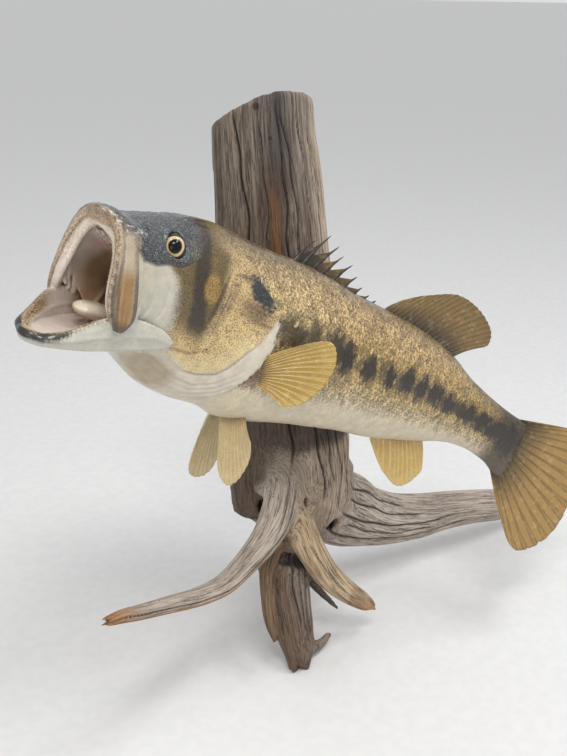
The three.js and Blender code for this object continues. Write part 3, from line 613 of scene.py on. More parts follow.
def shapeSkin():
    field = SkinField()
    s, h, w = field.parts
    field.values = bodyField(s, h, w)
    last = int((field.axes[0] < 128).sum())
    hollow = tableField(s[:last], h, w, bodyShape["hollow"], 2.5)
    hollow = softMax(hollow, s[:last] - 122, 3.0)
    field.values[:last] = softMax(field.values[:last], -hollow, 2.2)
    addUpperJaw(field)
    addLowerJaw(field)
    for line, radius, reach in mouthRidges():
        steps, knots = np.linspace(0, 1, 16), np.linspace(0, 1, len(line))
        radii = np.interp(steps, knots, np.broadcast_to(radius, len(line)))
        field.addTube(refineRows([[p] for p in line], 16)[:, 0], radii, reach)
    middle, faces = eyePlace(1)
    front = np.array([*eyeShape["at"], eyeShape["depth"]])
    field.addTube([middle, middle + 0.1 * faces], eyeShape["radius"] + 0.2, 0.8, carve=True)
    field.addTube([front + faces, front + 9 * faces], eyeShape["opening"], 0.8, carve=True)
    for s0, h0, w0 in eyeShape["nostrils"]:
        field.addTube([(s0, h0, w0 + 3), (s0 + 1, h0 - 1.5, w0 - 3)], 1.1, 0.6, carve=True)
    mirrored = field.axes[2] > 0.5
    values = field.values[:, :, mirrored]
    places = field.axes[2][mirrored]
    centre = field.values[:, :, np.abs(field.axes[2]) < 0.5]
    values = np.concatenate([values[:, :, ::-1], centre, values], 2)
    places = np.r_[-places[::-1], 0.0, places]
    points, faces = largestPart(*netSurface(values, [field.axes[0], field.axes[1], places]))
    return relax(points, faces, 2), faces


print("skin field")
skinPoints, skinFaces = shapeSkin()
print("skin", len(skinPoints), "points", len(skinFaces), "faces")


# relief of the outer skin, in millimetres along its normal
reliefLines = {
    "gillRear": [
        (136, 48.5), (150, 43), (160, 34), (172, 28.5), (187.5, 20.5), (191, 8), (193.6, -9.7),
        (191, -28), (185, -44), (174, -61.7), (156, -76), (134, -82),
    ],
    "preopercle": [
        (108, 41), (111.5, 34.5), (117.5, 26.5), (121, 16), (123.5, 5), (130, -8), (135.5, -18),
        (135, -27), (127, -34.5), (118, -38.5), (106.5, -39.5), (97, -39),
    ],
    "subopercle": [
        (187, 15), (180, -8), (170, -23), (162, -38), (154.5, -46.5), (136.5, -52.5), (121, -54),
        (104, -48),
    ],
    "headShield": [(18, 27), (23, 18), (34, 12), (48.5, 12.5), (63, 17.5), (74.5, 19), (85, 26)],
    "ribs": [(78, -44), (95, -48), (121, -57.5), (140, -58), (158, -50), (172, -36), (182, -20)],
    "cheekFolds": [
        [(40, 9), (46, -4), (49, -18), (46, -31)], [(48, 10), (57, -4), (61, -18), (58, -30)],
        [(56, 12), (68, 0), (74, -14), (72, -26)],
    ],
    "opercleStriae": [
        [(124, 30), (138, 34), (152, 31)], [(126, 20), (142, 22), (160, 18)],
        [(128, 8), (146, 8), (166, 2)], [(132, -4), (148, -6), (166, -14)],
        [(134, -14), (146, -20), (156, -30)],
    ],
    "chinPores": [(2, -66), (16, -60), (30, -56), (44, -51), (58, -46)],
}


def groove(away, width):
    return np.exp(-((away / width) ** 2))


def skinRelief(s, h, w, normals):
    side = ease(normals[:, 2] * np.sign(w), 0.05, 0.45)
    outer = ease(np.abs(w) - (halfAt(s) - 9), -2, 3) * side
    away, turn, share = lineDistance(s, h, reliefLines["gillRear"])
    within = -turn * away
    ends = ease(share, 0.0, 0.06) * ease(share, 1.0, 0.9)
    lift = 1.9 * ease(within, -0.4, 1.3) * np.exp(-np.maximum(within, 0) / 40)
    dip = -1.3 * groove(np.maximum(-within, 0) + 0.4, 2.6) * (within < 0)
    relief = (lift + dip) * ends * side * ease(s, 100, 124)
    away, turn, share = lineDistance(s, h, reliefLines["preopercle"])
    within = -turn * away
    slit = ease(share, 0.6, 0.95)
    near = groove(away, 14)
    relief += outer * near * (0.8 * ease(within, -0.5, 1.0) - (0.7 + 1.6 * slit) * groove(within + 0.9, 1.3))
    away, turn, share = lineDistance(s, h, reliefLines["subopercle"])
    within = -turn * away
    relief += side * groove(away, 10) * (0.45 * ease(within, -0.5, 0.7) - 0.9 * groove(within + 0.8, 1.1))
    away, turn, share = lineDistance(s, h, reliefLines["headShield"])
    above = turn * away
    fade = ease(share, 0.0, 0.05) * ease(share, 1.0, 0.92)
    relief += outer * fade * groove(away, 9) * (1.0 * ease(above, -0.4, 0.8) - 0.8 * groove(above + 1.0, 1.2))
    fromEye = np.hypot((s - eyeShape["at"][0]) / 0.85, h - eyeShape["at"][1]) - eyeShape["opening"]
    relief += side * (0.9 * groove(fromEye - 0.5, 1.6) - 0.45 * groove(fromEye - 4.0, 1.6))
    for line in reliefLines["cheekFolds"]:
        away, turn, share = lineDistance(s, h, line)
        ends = ease(share, 0, 0.15) * ease(share, 1, 0.85)
        relief += outer * ends * (0.55 * groove(turn * away - 2.0, 1.8) - 0.75 * groove(away, 1.5))
    for line in reliefLines["opercleStriae"]:
        away, turn, share = lineDistance(s, h, line)
        relief += side * ease(share, 0, 0.2) * ease(share, 1, 0.7) * (0.35 * groove(away, 1.5))
    away, turn, share = lineDistance(s, h, reliefLines["ribs"])
    below = -turn * away
    ribs = np.sin(2 * np.pi * (below - 1.2) / 4.7)
    region = ease(below, 1.5, 3.0) * ease(below, 27, 20) * ease(s, 84, 96) * ease(s, 186, 174)
    relief += region * (0.42 * ribs - 0.25 * ease(-ribs, 0.5, 1))
    for s0, h0 in reliefLines["chinPores"]:
        relief += -0.7 * outer * groove(np.hypot(s - s0, h - h0), 1.0)
    top = ease(h - backAt(s), -26, -12) * ease(s, 112, 92)
    relief += top * 0.22 * ripple(s, h, w, 1.7, 0.4) + top * 0.3 * ripple(s, h, w, 5.0, 1.9)
    crown = ease(np.abs(np.abs(w) - 9 - s * 0.03), 3.5, 1.0) * top
    relief += -0.5 * crown * ease(s, 20, 34)
    relief += 0.16 * ripple(s, h, w, 7.0, 3.1)
    return relief


# where things are on the fish: shares between 0 and 1, used by the skin and by the scales
lateralBlotches = [  # place, height, half length, half height, strength
    (200, 9, 11.3, 14.8, 0.85), (214, 6.5, 11.3, 15.4, 0.9), (231, 11, 10.1, 15.4, 0.85),
    (244, 14, 7.5, 13.7, 0.7), (257, 12, 10.6, 17.8, 0.95), (273, 9, 10.6, 17.0, 1),
    (301, 7, 10.6, 15.7, 1), (288, 9, 5.0, 9.6, 0.55), (317, 10, 6.9, 10.9, 0.75),
    (329, 8.5, 10.1, 13.7, 1), (352, 12, 11.7, 14.7, 1), (341, 9, 7.3, 11.5, 0.7),
    (372, 12, 12.3, 13.8, 1), (394, 13, 13.1, 13.0, 1), (406, 11, 8.7, 9.8, 0.85),
    (419, 10, 13.1, 11.5, 1), (433, 10, 10.1, 9.8, 0.95), (447, 9, 14.6, 10.5, 1),
    (467, 8, 19.0, 10.5, 1), (490, 6, 21.8, 11.5, 1), (514, 3, 17.4, 19.5, 1),
]
bellyLine = [(180, -46), (234, -38), (272, -27), (323, -22), (376, -16), (437, -12), (520, -16)]
fishColours = {
    "back": 0x7d6a4c, "backDark": 0x4a4132, "tan": 0xa99065, "gold": 0xab925a, "low": 0xb09f7c,
    "belly": 0xc6baa0, "blotch": 0x1c1611, "stalk": 0x41372a, "crown": 0x1d2124, "crownHighlight": 0x868f94,
    # the light grey crown colour is painted glints and a painted highlight
    "cheek": 0x61522f, "cheekDark": 0x2b1e0e, "goldPatch": 0x94773d, "opercle": 0xbea777,
    "opercleBrown": 0x5f473c, "spot": 0x0d1013, "white": 0xc5bcac, "throat": 0xa09073, "cream": 0xcbb98e,
    "brown": 0x6a4d38, "jawWhite": 0xb5b3a7, "lipDark": 0x1b1814, "tooth": 0x8d745a, "lining": 0xd6c9be,
    # the two colours for deep in the mouth are painted shade
    "ridge": 0xb7a48d, "mouthShade": 0x947658, "innerMouthShade": 0x5c4337, "maxilla": 0xaa9b84,
    "maxillaOrange": 0x8d6a38, "maxillaEdge": 0x3d332f, "pink": 0xc98a93,
}


def linearColour(code):
    channels = np.array([(code >> shift & 255) / 255 for shift in (16, 8, 0)])
    return np.where(channels <= 0.04045, channels / 12.92, ((channels + 0.055) / 1.055) ** 2.4)


def coats(colour, *layers):
    # thin coats over a colour, in turn: the tone's name and its share at every point
    for name, share in layers:
        colour = colour + (linearColour(fishColours[name]) - colour) * np.clip(share, 0, 1)[:, None]
    return colour


def spot(s, h, at, reach, tilt=0.0):
    ds, dh = s - at[0], h - at[1]
    turn = math.radians(tilt)
    x = ds * math.cos(turn) + dh * math.sin(turn)
    y = -ds * math.sin(turn) + dh * math.cos(turn)
    return np.hypot(x / reach[0], y / reach[1])


def flankMarkings(s, h, w):
    # colours of the body and head as they run along the outside
    middle = widestAt(s)
    v = np.where(h > middle, (h - middle) / (backAt(s) - middle), (h - middle) / (middle - bellyAt(s)))
    rough = ripple(s, h, w, 9, 0.7) * 0.6 + ripple(s, h, w, 3.2, 2.2) * 0.4
    line = np.interp(s, *zip(*bellyLine))
    dark = np.zeros(len(s))
    wobble = 0.26 * ripple(s, h, w, 3.0, 5.0) + 0.22 * ripple(s, h, w, 1.3, 1.0)
    for s0, h0, long, high, strength in lateralBlotches:
        reach = spot(s, h, (s0, h0), (long, high), 12) + wobble
        dark = np.maximum(dark, strength * ease(reach, 1.2, 0.6))
    bare = ease(spot(s, h, (203, -9), (17, 21), 12) + 0.2 * rough, 1.15, 0.7)  # behind the gill cover
    streaks = ease(ripple(s * 1.2, h * 0.25, w, 1.3, 2.0), -0.5, 0.7)
    underFin = ease(np.abs(s - 228) + 6 * rough, 30, 20) * ease(w, 8, 3)
    colour = coats(
        np.tile(linearColour(fishColours["tan"]), (len(s), 1)),
        ("gold", ease(h, 46, 12) * 0.85),
        ("back", ease(v + 0.05 * rough, 0.72, 0.97) * 0.75),
        ("backDark", ease(v + 0.05 * rough, 0.93, 1.02) * 0.6),
        ("backDark", ease(s, 205, 165) * ease(v + 0.1 * rough, 0.55, 0.95) * 0.4),
        ("cream", ease(s, 290, 215) * ease(v, 0.98, 0.55) * 0.38),
        ("low", ease(h + rough * 2, 4, line - 2)),
        ("belly", ease(h + rough * 2.5, line + 9, line - 11)),
        ("stalk", ease(s, 395, 500) * ease(v, -0.25, 0.6) * 0.5),
        ("stalk", ease(s + 3 * rough, 476, 502) * 0.95),
        ("blotch", dark),
        ("brown", bare * (0.25 + 0.55 * streaks) * (1 - dark)),
        ("brown", ease(spot(s, h, (191, -35), (11, 13), -20) + 0.25 * rough, 1.15, 0.6) * 0.85),
        ("blotch", underFin * ease(v, 0.7, 0.85) * 0.9),
    )
    return colour, rough, line


def headMarkings(colour, s, h, w, rough):
    shield, turn, _ = lineDistance(s, h, reliefLines["headShield"])
    above = turn * shield
    rearEdge = np.interp(h, (10, 26, 36, 47, 57, 64), (75, 81, 83, 85, 92, 100))
    crown = ease(above, -0.4, 0.6) * ease(s + 4 * rough, rearEdge + 7, rearEdge - 4)
    gill, gillTurn, _ = lineDistance(s, h, reliefLines["gillRear"])
    onHead = np.maximum(ease(-gillTurn * gill, -0.5, 0.8), ease(s, 130, 118))
    onHead = onHead * ease(s, 196, 194)
    onHead = onHead * (1 - ease(s, 100, 128) * ease(h, 40, 47))  # not the nape
    colour = blend(colour, coats(colour, ("opercle", np.ones(len(s)))), (onHead * 0.95)[:, None])
    # the gill cover and the cheek
    streak = ripple(s * 0.4, h * 1.6, w, 4.0, 0.3)
    cheekOn = onHead * ease(s, 128, 118)
    barAt = np.interp(h, (-30, -15, 5, 25, 40), (113, 110, 101, 95, 92))
    bar = ease(np.abs(s - barAt) + 2.2 * rough, 12, 5)
    streaked = ease(ripple(s * 1.1, h * 0.12, w, 1.1, 3.0), -0.3, 0.7)
    ragged = 0.35 * rough + 0.25 * ripple(s, h, w, 1.6, 4.0)
    behindEye = onHead * ease(spot(s, h, (130, 6), (7, 27), -10), 1.2, 0.6)
    underSpot = onHead * ease(spot(s, h, (164, 10), (17, 9), -16) + 0.2 * rough, 1.2, 0.5)
    colour = coats(
        colour,
        ("opercleBrown", onHead * ease(streak, 0.1, 0.8) * 0.55 * ease(s, 126, 134)),
        ("opercleBrown", onHead * ease(spot(s, h, (160, 12), (24, 12)), 1.3, 0.4) * 0.45),
        ("opercleBrown", onHead * ease(h, 22, 40) * 0.35),
        ("cheek", cheekOn * ease(h, -38, -14)),
        ("cheekDark", cheekOn * bar * ease(h, -34, -14) * 0.92),
        ("goldPatch", onHead * ease(spot(s, h, (111, 13), (8, 11), 20), 1.25, 0.7) * 0.85),
        ("cheekDark", onHead * ease(spot(s, h, (122, 8), (2.6, 22), -8), 1.3, 0.5) * 0.75),
        ("opercleBrown", behindEye * (0.35 + 0.5 * streaked)),
        ("goldPatch", cheekOn * ease(h, -22, -34) * 0.6),
        ("spot", onHead * ease(spot(s, h, (162, 26.5), (20, 9), -22) + ragged, 1.2, 0.75)),
        ("opercleBrown", underSpot * 0.5),
    )
    # the pale skin: cheek, gill flap, ribs of the throat and chin
    sub, subTurn, _ = lineDistance(s, h, reliefLines["subopercle"])
    below = subTurn * sub
    flap = onHead * ease(below, -1.0, 1.2) * ease(s, 96, 108)
    whiteEdge = np.interp(h, (-40, -34, -20, -8, 2, 11, 16), (97, 91, 86, 82, 78, 71, 60))
    whiteOn = ease(s + 2.5 * rough, whiteEdge + 8, whiteEdge - 8) * (1 - crown)
    lowerEdge = np.interp(s, (60, 90, 110, 130), (-34, -44, -47, -56))
    lower = ease(h, lowerEdge + 3, lowerEdge - 3) * ease(s, 176, 168)
    wisps = ease(ripple(s * 0.9, h * 0.2, w, 2.4, 5.0), 0.0, 0.9)
    # painted shade under the throat
    grey = ease(spot(s, h, (100, -64), (30, 16), -24) + 0.2 * rough, 1.1, 0.6)
    colour = coats(
        colour,
        ("cream", onHead * ease(below, -26, -2) * ease(h, 4, -14) * 0.85),
        ("white", flap * ease(h, 22, 12)),
        # painted shade: dark line in the crease of the gill flap
        ("maxillaEdge", onHead * groove(below - 0.4, 0.8) * ease(s, 100, 108) * ease(h, -10, -30) * 0.5),
        ("white", lower),
        ("jawWhite", whiteOn),
        ("cream", whiteOn * ease(s, 70, 50) * ease(h, -26, -16) * (0.15 + 0.3 * wisps)),
        ("white", whiteOn * ease(s, 56, 66) * (0.35 + 0.3 * wisps)),
        # painted shade: greyer throat under the head
        ("throat", grey * ease(h, -48, -53) * 0.85),
        ("pink", ease(spot(s, h, (91, -38), (6, 4)), 1.3, 0.5) * 0.8),
    )
    # the crown, the snout, nostrils and the rim of the eye
    speck = ease(ripple(s, h, w, 1.3, 4.0), 0.35, 0.8)
    ring = np.hypot((s - eyeShape["at"][0]) / 0.85, h - eyeShape["at"][1])
    colour = coats(
        colour,
        ("crown", crown),
        # painted glints: light grey specks on the crown
        ("crownHighlight", crown * (0.42 * speck + 0.1 * ease(rough, 0.2, 0.8))),
        ("lipDark", ease(s, 24, 34) * ease(s, 92, 84) * groove(above - 1.2, 2.2) * 0.85),
        # painted highlight: lighter grey on the top of the snout
        ("crownHighlight", ease(s, 34, 18) * ease(h, 22, 30) * 0.5),
        ("blotch", ease(spot(s, h, (15.5, 26), (3.2, 3.2)), 1.2, 0.7) * ease(np.abs(w), 10, 14)),
        # painted shade in the nostril holes
        *(("blotch", crown * ease(np.hypot(s - s0, h - h0), 2.4, 1.2)) for s0, h0, _ in eyeShape["nostrils"]),
        ("spot", ease(np.abs(ring - eyeShape["opening"]), 2.2, 0.8) * 0.85 * ease(s, 20, 40)),
    )
    calm = 0.6 * onHead * ease(below, -20, -6) * ease(h, -4, -22)
    return colour, np.maximum.reduce([whiteOn, lower, flap * ease(h, 22, 12), calm])


def denseStrip(rows, columns, across):
    shares = np.linspace(0, len(columns) - 1, across)
    lines = rows[:, columns]
    low = np.clip(shares.astype(int), 0, len(columns) - 2)
    t = (shares - low)[None, :, None]
    return lines[:, low] * (1 - t) + lines[:, low + 1] * t


def stripDistance(points, strip):
    # distance to a strip of points, with the shares along and across it
    flat = strip.reshape(-1, 3).astype(np.float32)
    best = np.full(len(points), 1e9, np.float32)
    index = np.zeros(len(points), int)
    points = points.astype(np.float32)
    for start in range(0, len(points), 8000):
        part = slice(start, start + 8000)
        away = ((points[part, None] - flat[None]) ** 2).sum(2)
        index[part] = away.argmin(1)
        best[part] = np.sqrt(away.min(1))
    rows, columns = strip.shape[:2]
    return best, index // columns / (rows - 1), index % columns / (columns - 1)


def mouthMarkings(colour, points, normals):
    # jaws and the lining of the mouth, with painted shade deeper inside, over the outside colours; s, h, w on
    # the near side only
    head = points[:, 0] < 128
    near = points[head].copy()
    near[:, 2] = np.abs(near[:, 2])
    facing = normals[head].copy()
    facing[:, 2] *= np.sign(points[head][:, 2] + 1e-6)
    s, h, w = near.T
    fine, broad = ripple(s, h, w, 2.2, 1.1), ripple(s, h, w, 11, 2.1)
    # inside: skin of the hollow that faces its axis, and the pocket of the lower jaw
    hollow = tableField(s, h, w, bodyShape["hollow"], 2.5)
    toAxis = np.stack([np.zeros(len(s)), np.interp(s, (-15, 6, 125), (-20, -22, -26)) - h, -w], 1)
    inwards = (facing * toAxis).sum(1) / np.maximum(np.linalg.norm(toAxis, axis=1), 1e-6)
    reach = np.interp(s, (10, 60, 120), (9, 5, 3))
    inside = ease(inwards, -0.25, 0.15) * ease(hollow, reach, reach - 2)
    inside = inside * ease(s, 126, 123)
    rail = np.interp(s, lowerRows[:, 3, 0], lowerRows[:, 3, 2])
    pocket = ease(rail + 2 - w, -0.5, 1.5) * ease(np.maximum(facing[:, 1], -facing[:, 2]), 0.1, 0.4)
    inside = np.maximum(inside, pocket * ease(s, 80, 70) * ease(h, -18, -26))
    depth = s - 0.25 * (10 + np.maximum(h, -18)) + 0.5 * np.minimum(h + 18, 0) + 5 * broad
    # upper jaw: the tooth band and the plate of the maxilla, t along and u across them
    towards = (facing * (np.array([-4.0, -25, 0]) - near)).sum(1)
    band, t, u = stripDistance(near, denseStrip(upperRows, [0, 1], 9))
    plate, t2, u2 = stripDistance(near, denseStrip(upperRows, [1, 2], 12))
    onPlate = ease(np.minimum(plate, band), 5.5, 3.5) * np.maximum(ease(towards, 6, -6), 1 - inside)
    bandStart = np.interp(t, (0, 0.15, 0.35, 1), (-0.5, 0.0, 0.42, 0.5))
    bandOn = ease(band, 3.4, 2.2) * ease(towards, -16, 4) * ease(u, bandStart, bandStart + 0.15)
    bandOn = bandOn * ease(t, 0.97, 0.88)
    low = ease(t2 + 0.03 * broad, 0.55, 0.68)
    lines = ease(ripple(u2 * 16, t2 * 3, 0 * u2, 1.0, 3.0), 0.0, 0.8)
    mottle = ease(broad + 0.6 * fine, -0.2, 0.3)
    outer = bandOn * ease(t, 0.22, 0.34) * ease(u, bandStart + 0.2, bandStart + 0.32)
    # lower jaw: t3 along it, u3 round it from the inner edge
    rim, t3, u3 = stripDistance(near, denseStrip(lowerRows, [3, 0, 1, 2], 22))
    u3 = u3 * 3
    onJaw = ease(rim, 5.0, 3.5)
    padOn = onJaw * ease(u3, 0.05, 0.25) * ease(u3, 1.08, 0.98) * ease(t3, 0.62, 0.5)
    lipEnd = np.interp(t3, (0, 0.22, 0.34, 0.42, 0.48), (2.3, 2.15, 1.9, 1.4, 0.9)) + 0.1 * fine
    lip = onJaw * ease(u3, 0.98, 1.1) * ease(u3, lipEnd + 0.15, lipEnd - 0.15)
    result = colour.copy()
    result[head] = coats(
        colour[head],
        ("lining", inside),
        # painted shade: darker deeper in the mouth and under its roof
        ("mouthShade", inside * ease(depth, 32, 50) * 0.95),
        ("innerMouthShade", inside * ease(depth, 56, 92)),
        ("mouthShade", inside * ease(h, 2, 16) * ease(s, 20, 44) * 0.45),
        ("pink", inside * ease(spot(s, h, (40, 8), (8, 5)), 1.2, 0.4) * 0.35),
        ("maxilla", onPlate),
        ("maxillaOrange", onPlate * low * ease(np.abs(u2 - 0.5), 0.42, 0.22) * 0.9),
        ("maxillaEdge", onPlate * ease(u2, 0.76, 0.95) * ease(t2, 0.1, 0.25) * (0.45 + 0.35 * low)),
        ("maxillaEdge", onPlate * ease(np.abs(u2 - 0.22 + 0.05 * broad), 0.1, 0.03) * 0.6),
        ("maxillaEdge", onPlate * low * ease(u2, 0.25, 0.08) * 0.8),
        ("maxillaEdge", onPlate * ease(t2, 0.88, 0.98) * 0.75),
        ("maxillaEdge", onPlate * lines * 0.5),
        ("maxillaEdge", onPlate * ease(broad + fine * 0.5, 0.1, 0.7) * ease(t2, 0.5, 0.25) * 0.6),
        ("crown", onPlate * ease(t2, 0.3, 0.1) * ease(u2, 0.1, 0.5)),
        ("lipDark", onPlate * mottle * ease(t2, 0.42, 0.3) * ease(u2, 0.1, 0.3) * 0.75),
        ("tooth", bandOn),
        ("ridge", outer * (0.75 + 0.2 * fine)),
        ("maxillaEdge", outer * groove(u - bandStart - 0.3 - 0.03 * broad, 0.035) * 0.7),
        ("lipDark", bandOn * ease(t, 0.22, 0.34) * ease(u, bandStart + 0.26, bandStart + 0.12) * 0.45),
        ("lipDark", onPlate * ease(u2, 0.1, 0.02) * ease(fine, -0.4, 0.5) * 0.6),
        ("jawWhite", onJaw * ease(u3, 1.0, 1.15) * ease(s, 96, 90) * (1 - inside)),
        ("tooth", padOn),
        ("lipDark", lip * ease(t3, 0.5, 0.4)),
        ("cheek", onJaw * ease(np.abs(u3 - lipEnd - 0.12), 0.16, 0.04) * (t3 < 0.6) * 0.45),
    )
    lining, teeth = np.zeros((2, len(points)))
    lining[head] = inside
    teeth[head] = np.maximum(bandOn, padOn)
    return result, lining, teeth


def gritAt(s, h, w, fleck, lining=0.0):
    # how strongly the fine bumps and the painted glints show: most on the crown and the dark spot of the gill
    # cover, hardly any on pale skin
    shield, turn, _ = lineDistance(s, h, reliefLines["headShield"])
    crown = ease(turn * shield, -1, 1) * ease(s, 100, 80)
    crown = np.maximum(crown, 0.42 * ease(spot(s, h, (162, 26.5), (20, 8.5), -22), 1.2, 0.8))
    return np.clip(0.12 + 0.3 * fleck + 0.75 * crown * (1 - lining), 0, 1)


def fishMarkings(points, normals=None):
    s, h, w = points.T
    colour, rough, line = flankMarkings(s, h, np.abs(w))
    colour, plain = headMarkings(colour, s, h, np.abs(w), rough)
    pale = np.maximum(ease(h, line + 6, line - 14) * ease(s, 158, 170), plain)
    fleck = np.clip(1 - 0.9 * pale, 0, 1)
    if normals is None:
        return colour, fleck
    colour, lining, teeth = mouthMarkings(colour, points, normals)
    fleck = np.clip(fleck * (1 - lining) * (1 - teeth) + teeth, 0, 1)
    return colour, fleck, lining, teeth


# materials
class Finish:
    # a material and its node tree, with short ways to add to it
    def __init__(self, name):
        self.material = bpy.data.materials.new(name)
        self.material.use_nodes = True
        self.nodes = self.material.node_tree.nodes
        self.links = self.material.node_tree.links
        self.shader = self.nodes["Principled BSDF"]

    def feed(self, socket, value):
        # a socket takes a fixed value or what another node gives
        if isinstance(value, (int, float, tuple)):
            socket.default_value = value
        else:
            self.links.new(value, socket)

    def node(self, kind, output, **values):
        made = self.nodes.new("ShaderNode" + kind)
        for key, value in values.items():
            self.feed(made.inputs[key.replace("_", " ")], value)
        return made.outputs[output]

    def read(self, name, output="Fac"):
        made = self.nodes.new("ShaderNodeAttribute")
        made.attribute_name = name
        return made.outputs[output]

    def noise(self, place, scale, detail=3.0, rough=0.6, stretch=None):
        if stretch:
            place = self.node("Mapping", "Vector", Vector=place, Scale=stretch)
        return self.node("TexNoise", "Fac", Scale=scale, Detail=detail, Roughness=rough, Vector=place)

    def ramp(self, value, low, high, start=0.0, end=1.0):
        made = self.nodes.new("ShaderNodeMapRange")
        made.interpolation_type = "SMOOTHSTEP"
        for key, number in (("From Min", low), ("From Max", high), ("To Min", start), ("To Max", end)):
            made.inputs[key].default_value = number
        self.links.new(value, made.inputs["Value"])
        return made.outputs["Result"]

    def maths(self, operation, a, b):
        made = self.nodes.new("ShaderNodeMath")
        made.operation = operation
        self.feed(made.inputs[0], a)
        self.feed(made.inputs[1], b)
        return made.outputs[0]

    def times(self, a, b):
        return self.maths("MULTIPLY", a, b)

    def mix(self, share, a, b, mode="MIX"):
        made = self.nodes.new("ShaderNodeMix")
        made.data_type = "RGBA"
        made.blend_type = mode
        for socket, value in zip((made.inputs[0], made.inputs[6], made.inputs[7]), (share, a, b)):
            self.feed(socket, value)
        return made.outputs[2]

    def shade(self, colour, grey):
        # a colour made lighter or darker by a number
        tint = self.node("CombineColor", "Color", Red=grey, Green=grey, Blue=grey)
        return self.mix(1.0, colour, tint, "MULTIPLY")

    def bump(self, height, strength, distance):
        return self.node("Bump", "Normal", Strength=strength, Distance=distance, Height=height)

    def give(self, **values):
        # sets the shader's own sockets
        for key, value in values.items():
            self.feed(self.shader.inputs[key.replace("_", " ")], value)
        return self.material


def colourOf(code):
    return (*linearColour(code), 1.0)


skinFinish = {
    "rough": 0.4, "coat": 0.5, "coatRough": 0.13,
    # the bright flecks are partly painted glints, and the near-white speck colour is a painted glint
    "fleckDark": (0.4, 0.36, 0.31, 1.0), "brightFleckAndGlint": (1.74, 1.7, 1.6, 1.0),
    "paintedGlint": 0xc9cfd1, "rim": 0x3a2c19, "dot": 0x3d3320,
}


def skinMaterial(name, fleckScale, bump, scaled=False):
    finish = Finish(name)
    colour = finish.read("markings", "Color")
    place, fleck = finish.read("place", "Vector"), finish.read("fleck")
    fine = finish.noise(place, fleckScale, 2.0, 0.7)
    finer = finish.noise(place, fleckScale * 2.3, 2.0, 0.7)
    patches = finish.noise(place, 0.11)
    darkShare = finish.times(finish.ramp(fine, 0.48, 0.58), fleck)
    colour = finish.mix(darkShare, colour, skinFinish["fleckDark"], "MULTIPLY")
    # bright flecks: partly pale pigment, partly painted glints
    brightFleckAndGlintShare = finish.times(finish.ramp(finer, 0.48, 0.62), fleck)
    colour = finish.mix(brightFleckAndGlintShare, colour, skinFinish["brightFleckAndGlint"], "MULTIPLY")
    # painted glints: near-white specks, strongest on the crown and the dark spot of the gill cover
    gritty = finish.read("grit")
    paintedGlint = finish.times(finish.ramp(finer, 0.59, 0.65), finish.ramp(gritty, 0.55, 1.0, 0.0, 0.95))
    colour = finish.mix(paintedGlint, colour, colourOf(skinFinish["paintedGlint"]))
    colour = finish.shade(colour, finish.ramp(patches, 0.3, 0.7, 0.9, 1.07))
    if scaled:  # every scale has its own lightness, a dark rim and a dark middle
        each, rim = finish.read("each"), finish.read("rim")
        varied = finish.shade(colour, finish.ramp(each, 0.0, 1.0, 0.74, 1.38))
        colour = finish.mix(fleck, colour, varied)
        rimShare = finish.times(finish.times(finish.ramp(rim, 0.45, 0.95), 0.42), fleck)
        colour = finish.mix(rimShare, colour, colourOf(skinFinish["rim"]))
        dotShare = finish.times(finish.ramp(rim, 0.6, 0.15, 0.0, 0.42), fleck)
        colour = finish.mix(dotShare, colour, colourOf(skinFinish["dot"]))
    rough = skinFinish["rough"]
    height = finish.maths("ADD", fine, finish.times(finer, 0.5))
    return finish.give(
        Base_Color=colour, Roughness=finish.ramp(finer, 0.3, 0.7, rough - 0.12, rough + 0.12),
        Coat_Weight=skinFinish["coat"], Coat_Roughness=skinFinish["coatRough"],
        Normal=finish.bump(height, gritty, bump),
    )


# the skin
normals = cornerNormals(skinPoints, skinFaces)
skinColour, skinFleck, lining, toothShare = fishMarkings(skinPoints, normals)
outside = 1 - np.maximum(lining, toothShare)
skinPlaces = skinPoints.copy()
skinPoints = skinPoints + normals * (skinRelief(*skinPoints.T, normals) * outside)[:, None]
skin = makeMesh("skin", poseFish(skinPoints), skinFaces, skinMaterial("fishSkin", 0.85, 0.0007))
grit = gritAt(*skinPlaces.T, skinFleck, lining)
paintValues(skin, markings=skinColour, place=skinPlaces, fleck=skinFleck, grit=grit)
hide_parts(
    "head", "upper_jaw", "lower_jaw", "trunk", "tail_stalk", "gill_cover_left", "gill_cover_right"
)
print("skin painted")


# scales: thin plates in staggered rows that run beside the lateral line
scaleRows = {
    "lateral": [(60, 20), (110, 24), (190, 26), (240, 25), (300, 19), (360, 14), (420, 9), (545, 2)],
    "trunk": {
        "pitch": [(100, 3.5), (150, 4.1), (210, 4.8), (320, 4.7), (420, 4.1), (500, 3.5), (540, 3.2)],
        "tall": 0.92, "lift": 0.46, "sunk": 0.17,
        "keep": (1, 0.8),  # outside the outline by this much; -1 is inside
        "outline": [
            (104, 75), (107, 56), (118, 51), (136, 49.5), (150, 44), (160, 35), (172, 29.5), (187.5, 21.5),
            (192, 8), (194.6, -9.7), (192, -28), (187, -44), (184, -60), (180, -75), (178, -100),
            (-40, -100), (-40, 75),
        ],
    },
    "opercle": {
        "pitch": [(60, 3.7), (240, 4.0)], "tall": 0.9, "lift": 0.2, "sunk": 0.14, "keep": (-1, 1),
        "outline": [
            (122, 42), (136, 45), (150, 40), (158, 32), (170, 26), (182, 17), (178, -6), (167, -22),
            (158, -36), (148, -40), (140, -24), (132, -6), (126, 14),
        ],
    },
    "cheek": {
        "pitch": [(60, 3.1), (240, 3.4)], "tall": 0.9, "lift": 0.22, "sunk": 0.12, "keep": (-1, 0.5),
        "outline": [
            (87, 26), (91, 42), (107, 41), (116, 27), (121, 12), (127, -6), (132, -20), (127, -32),
            (106, -37), (98, -36), (93, -20), (87, 0),
        ],
    },
    "stations": (60.0, 532.0, 2.0),  # first and last place of the body table, and its step
    "reach": 52,  # rows above and below the lateral line
    "rim": 10,  # points round a plate
    "split": 300,  # front and rear scales are two pieces
}


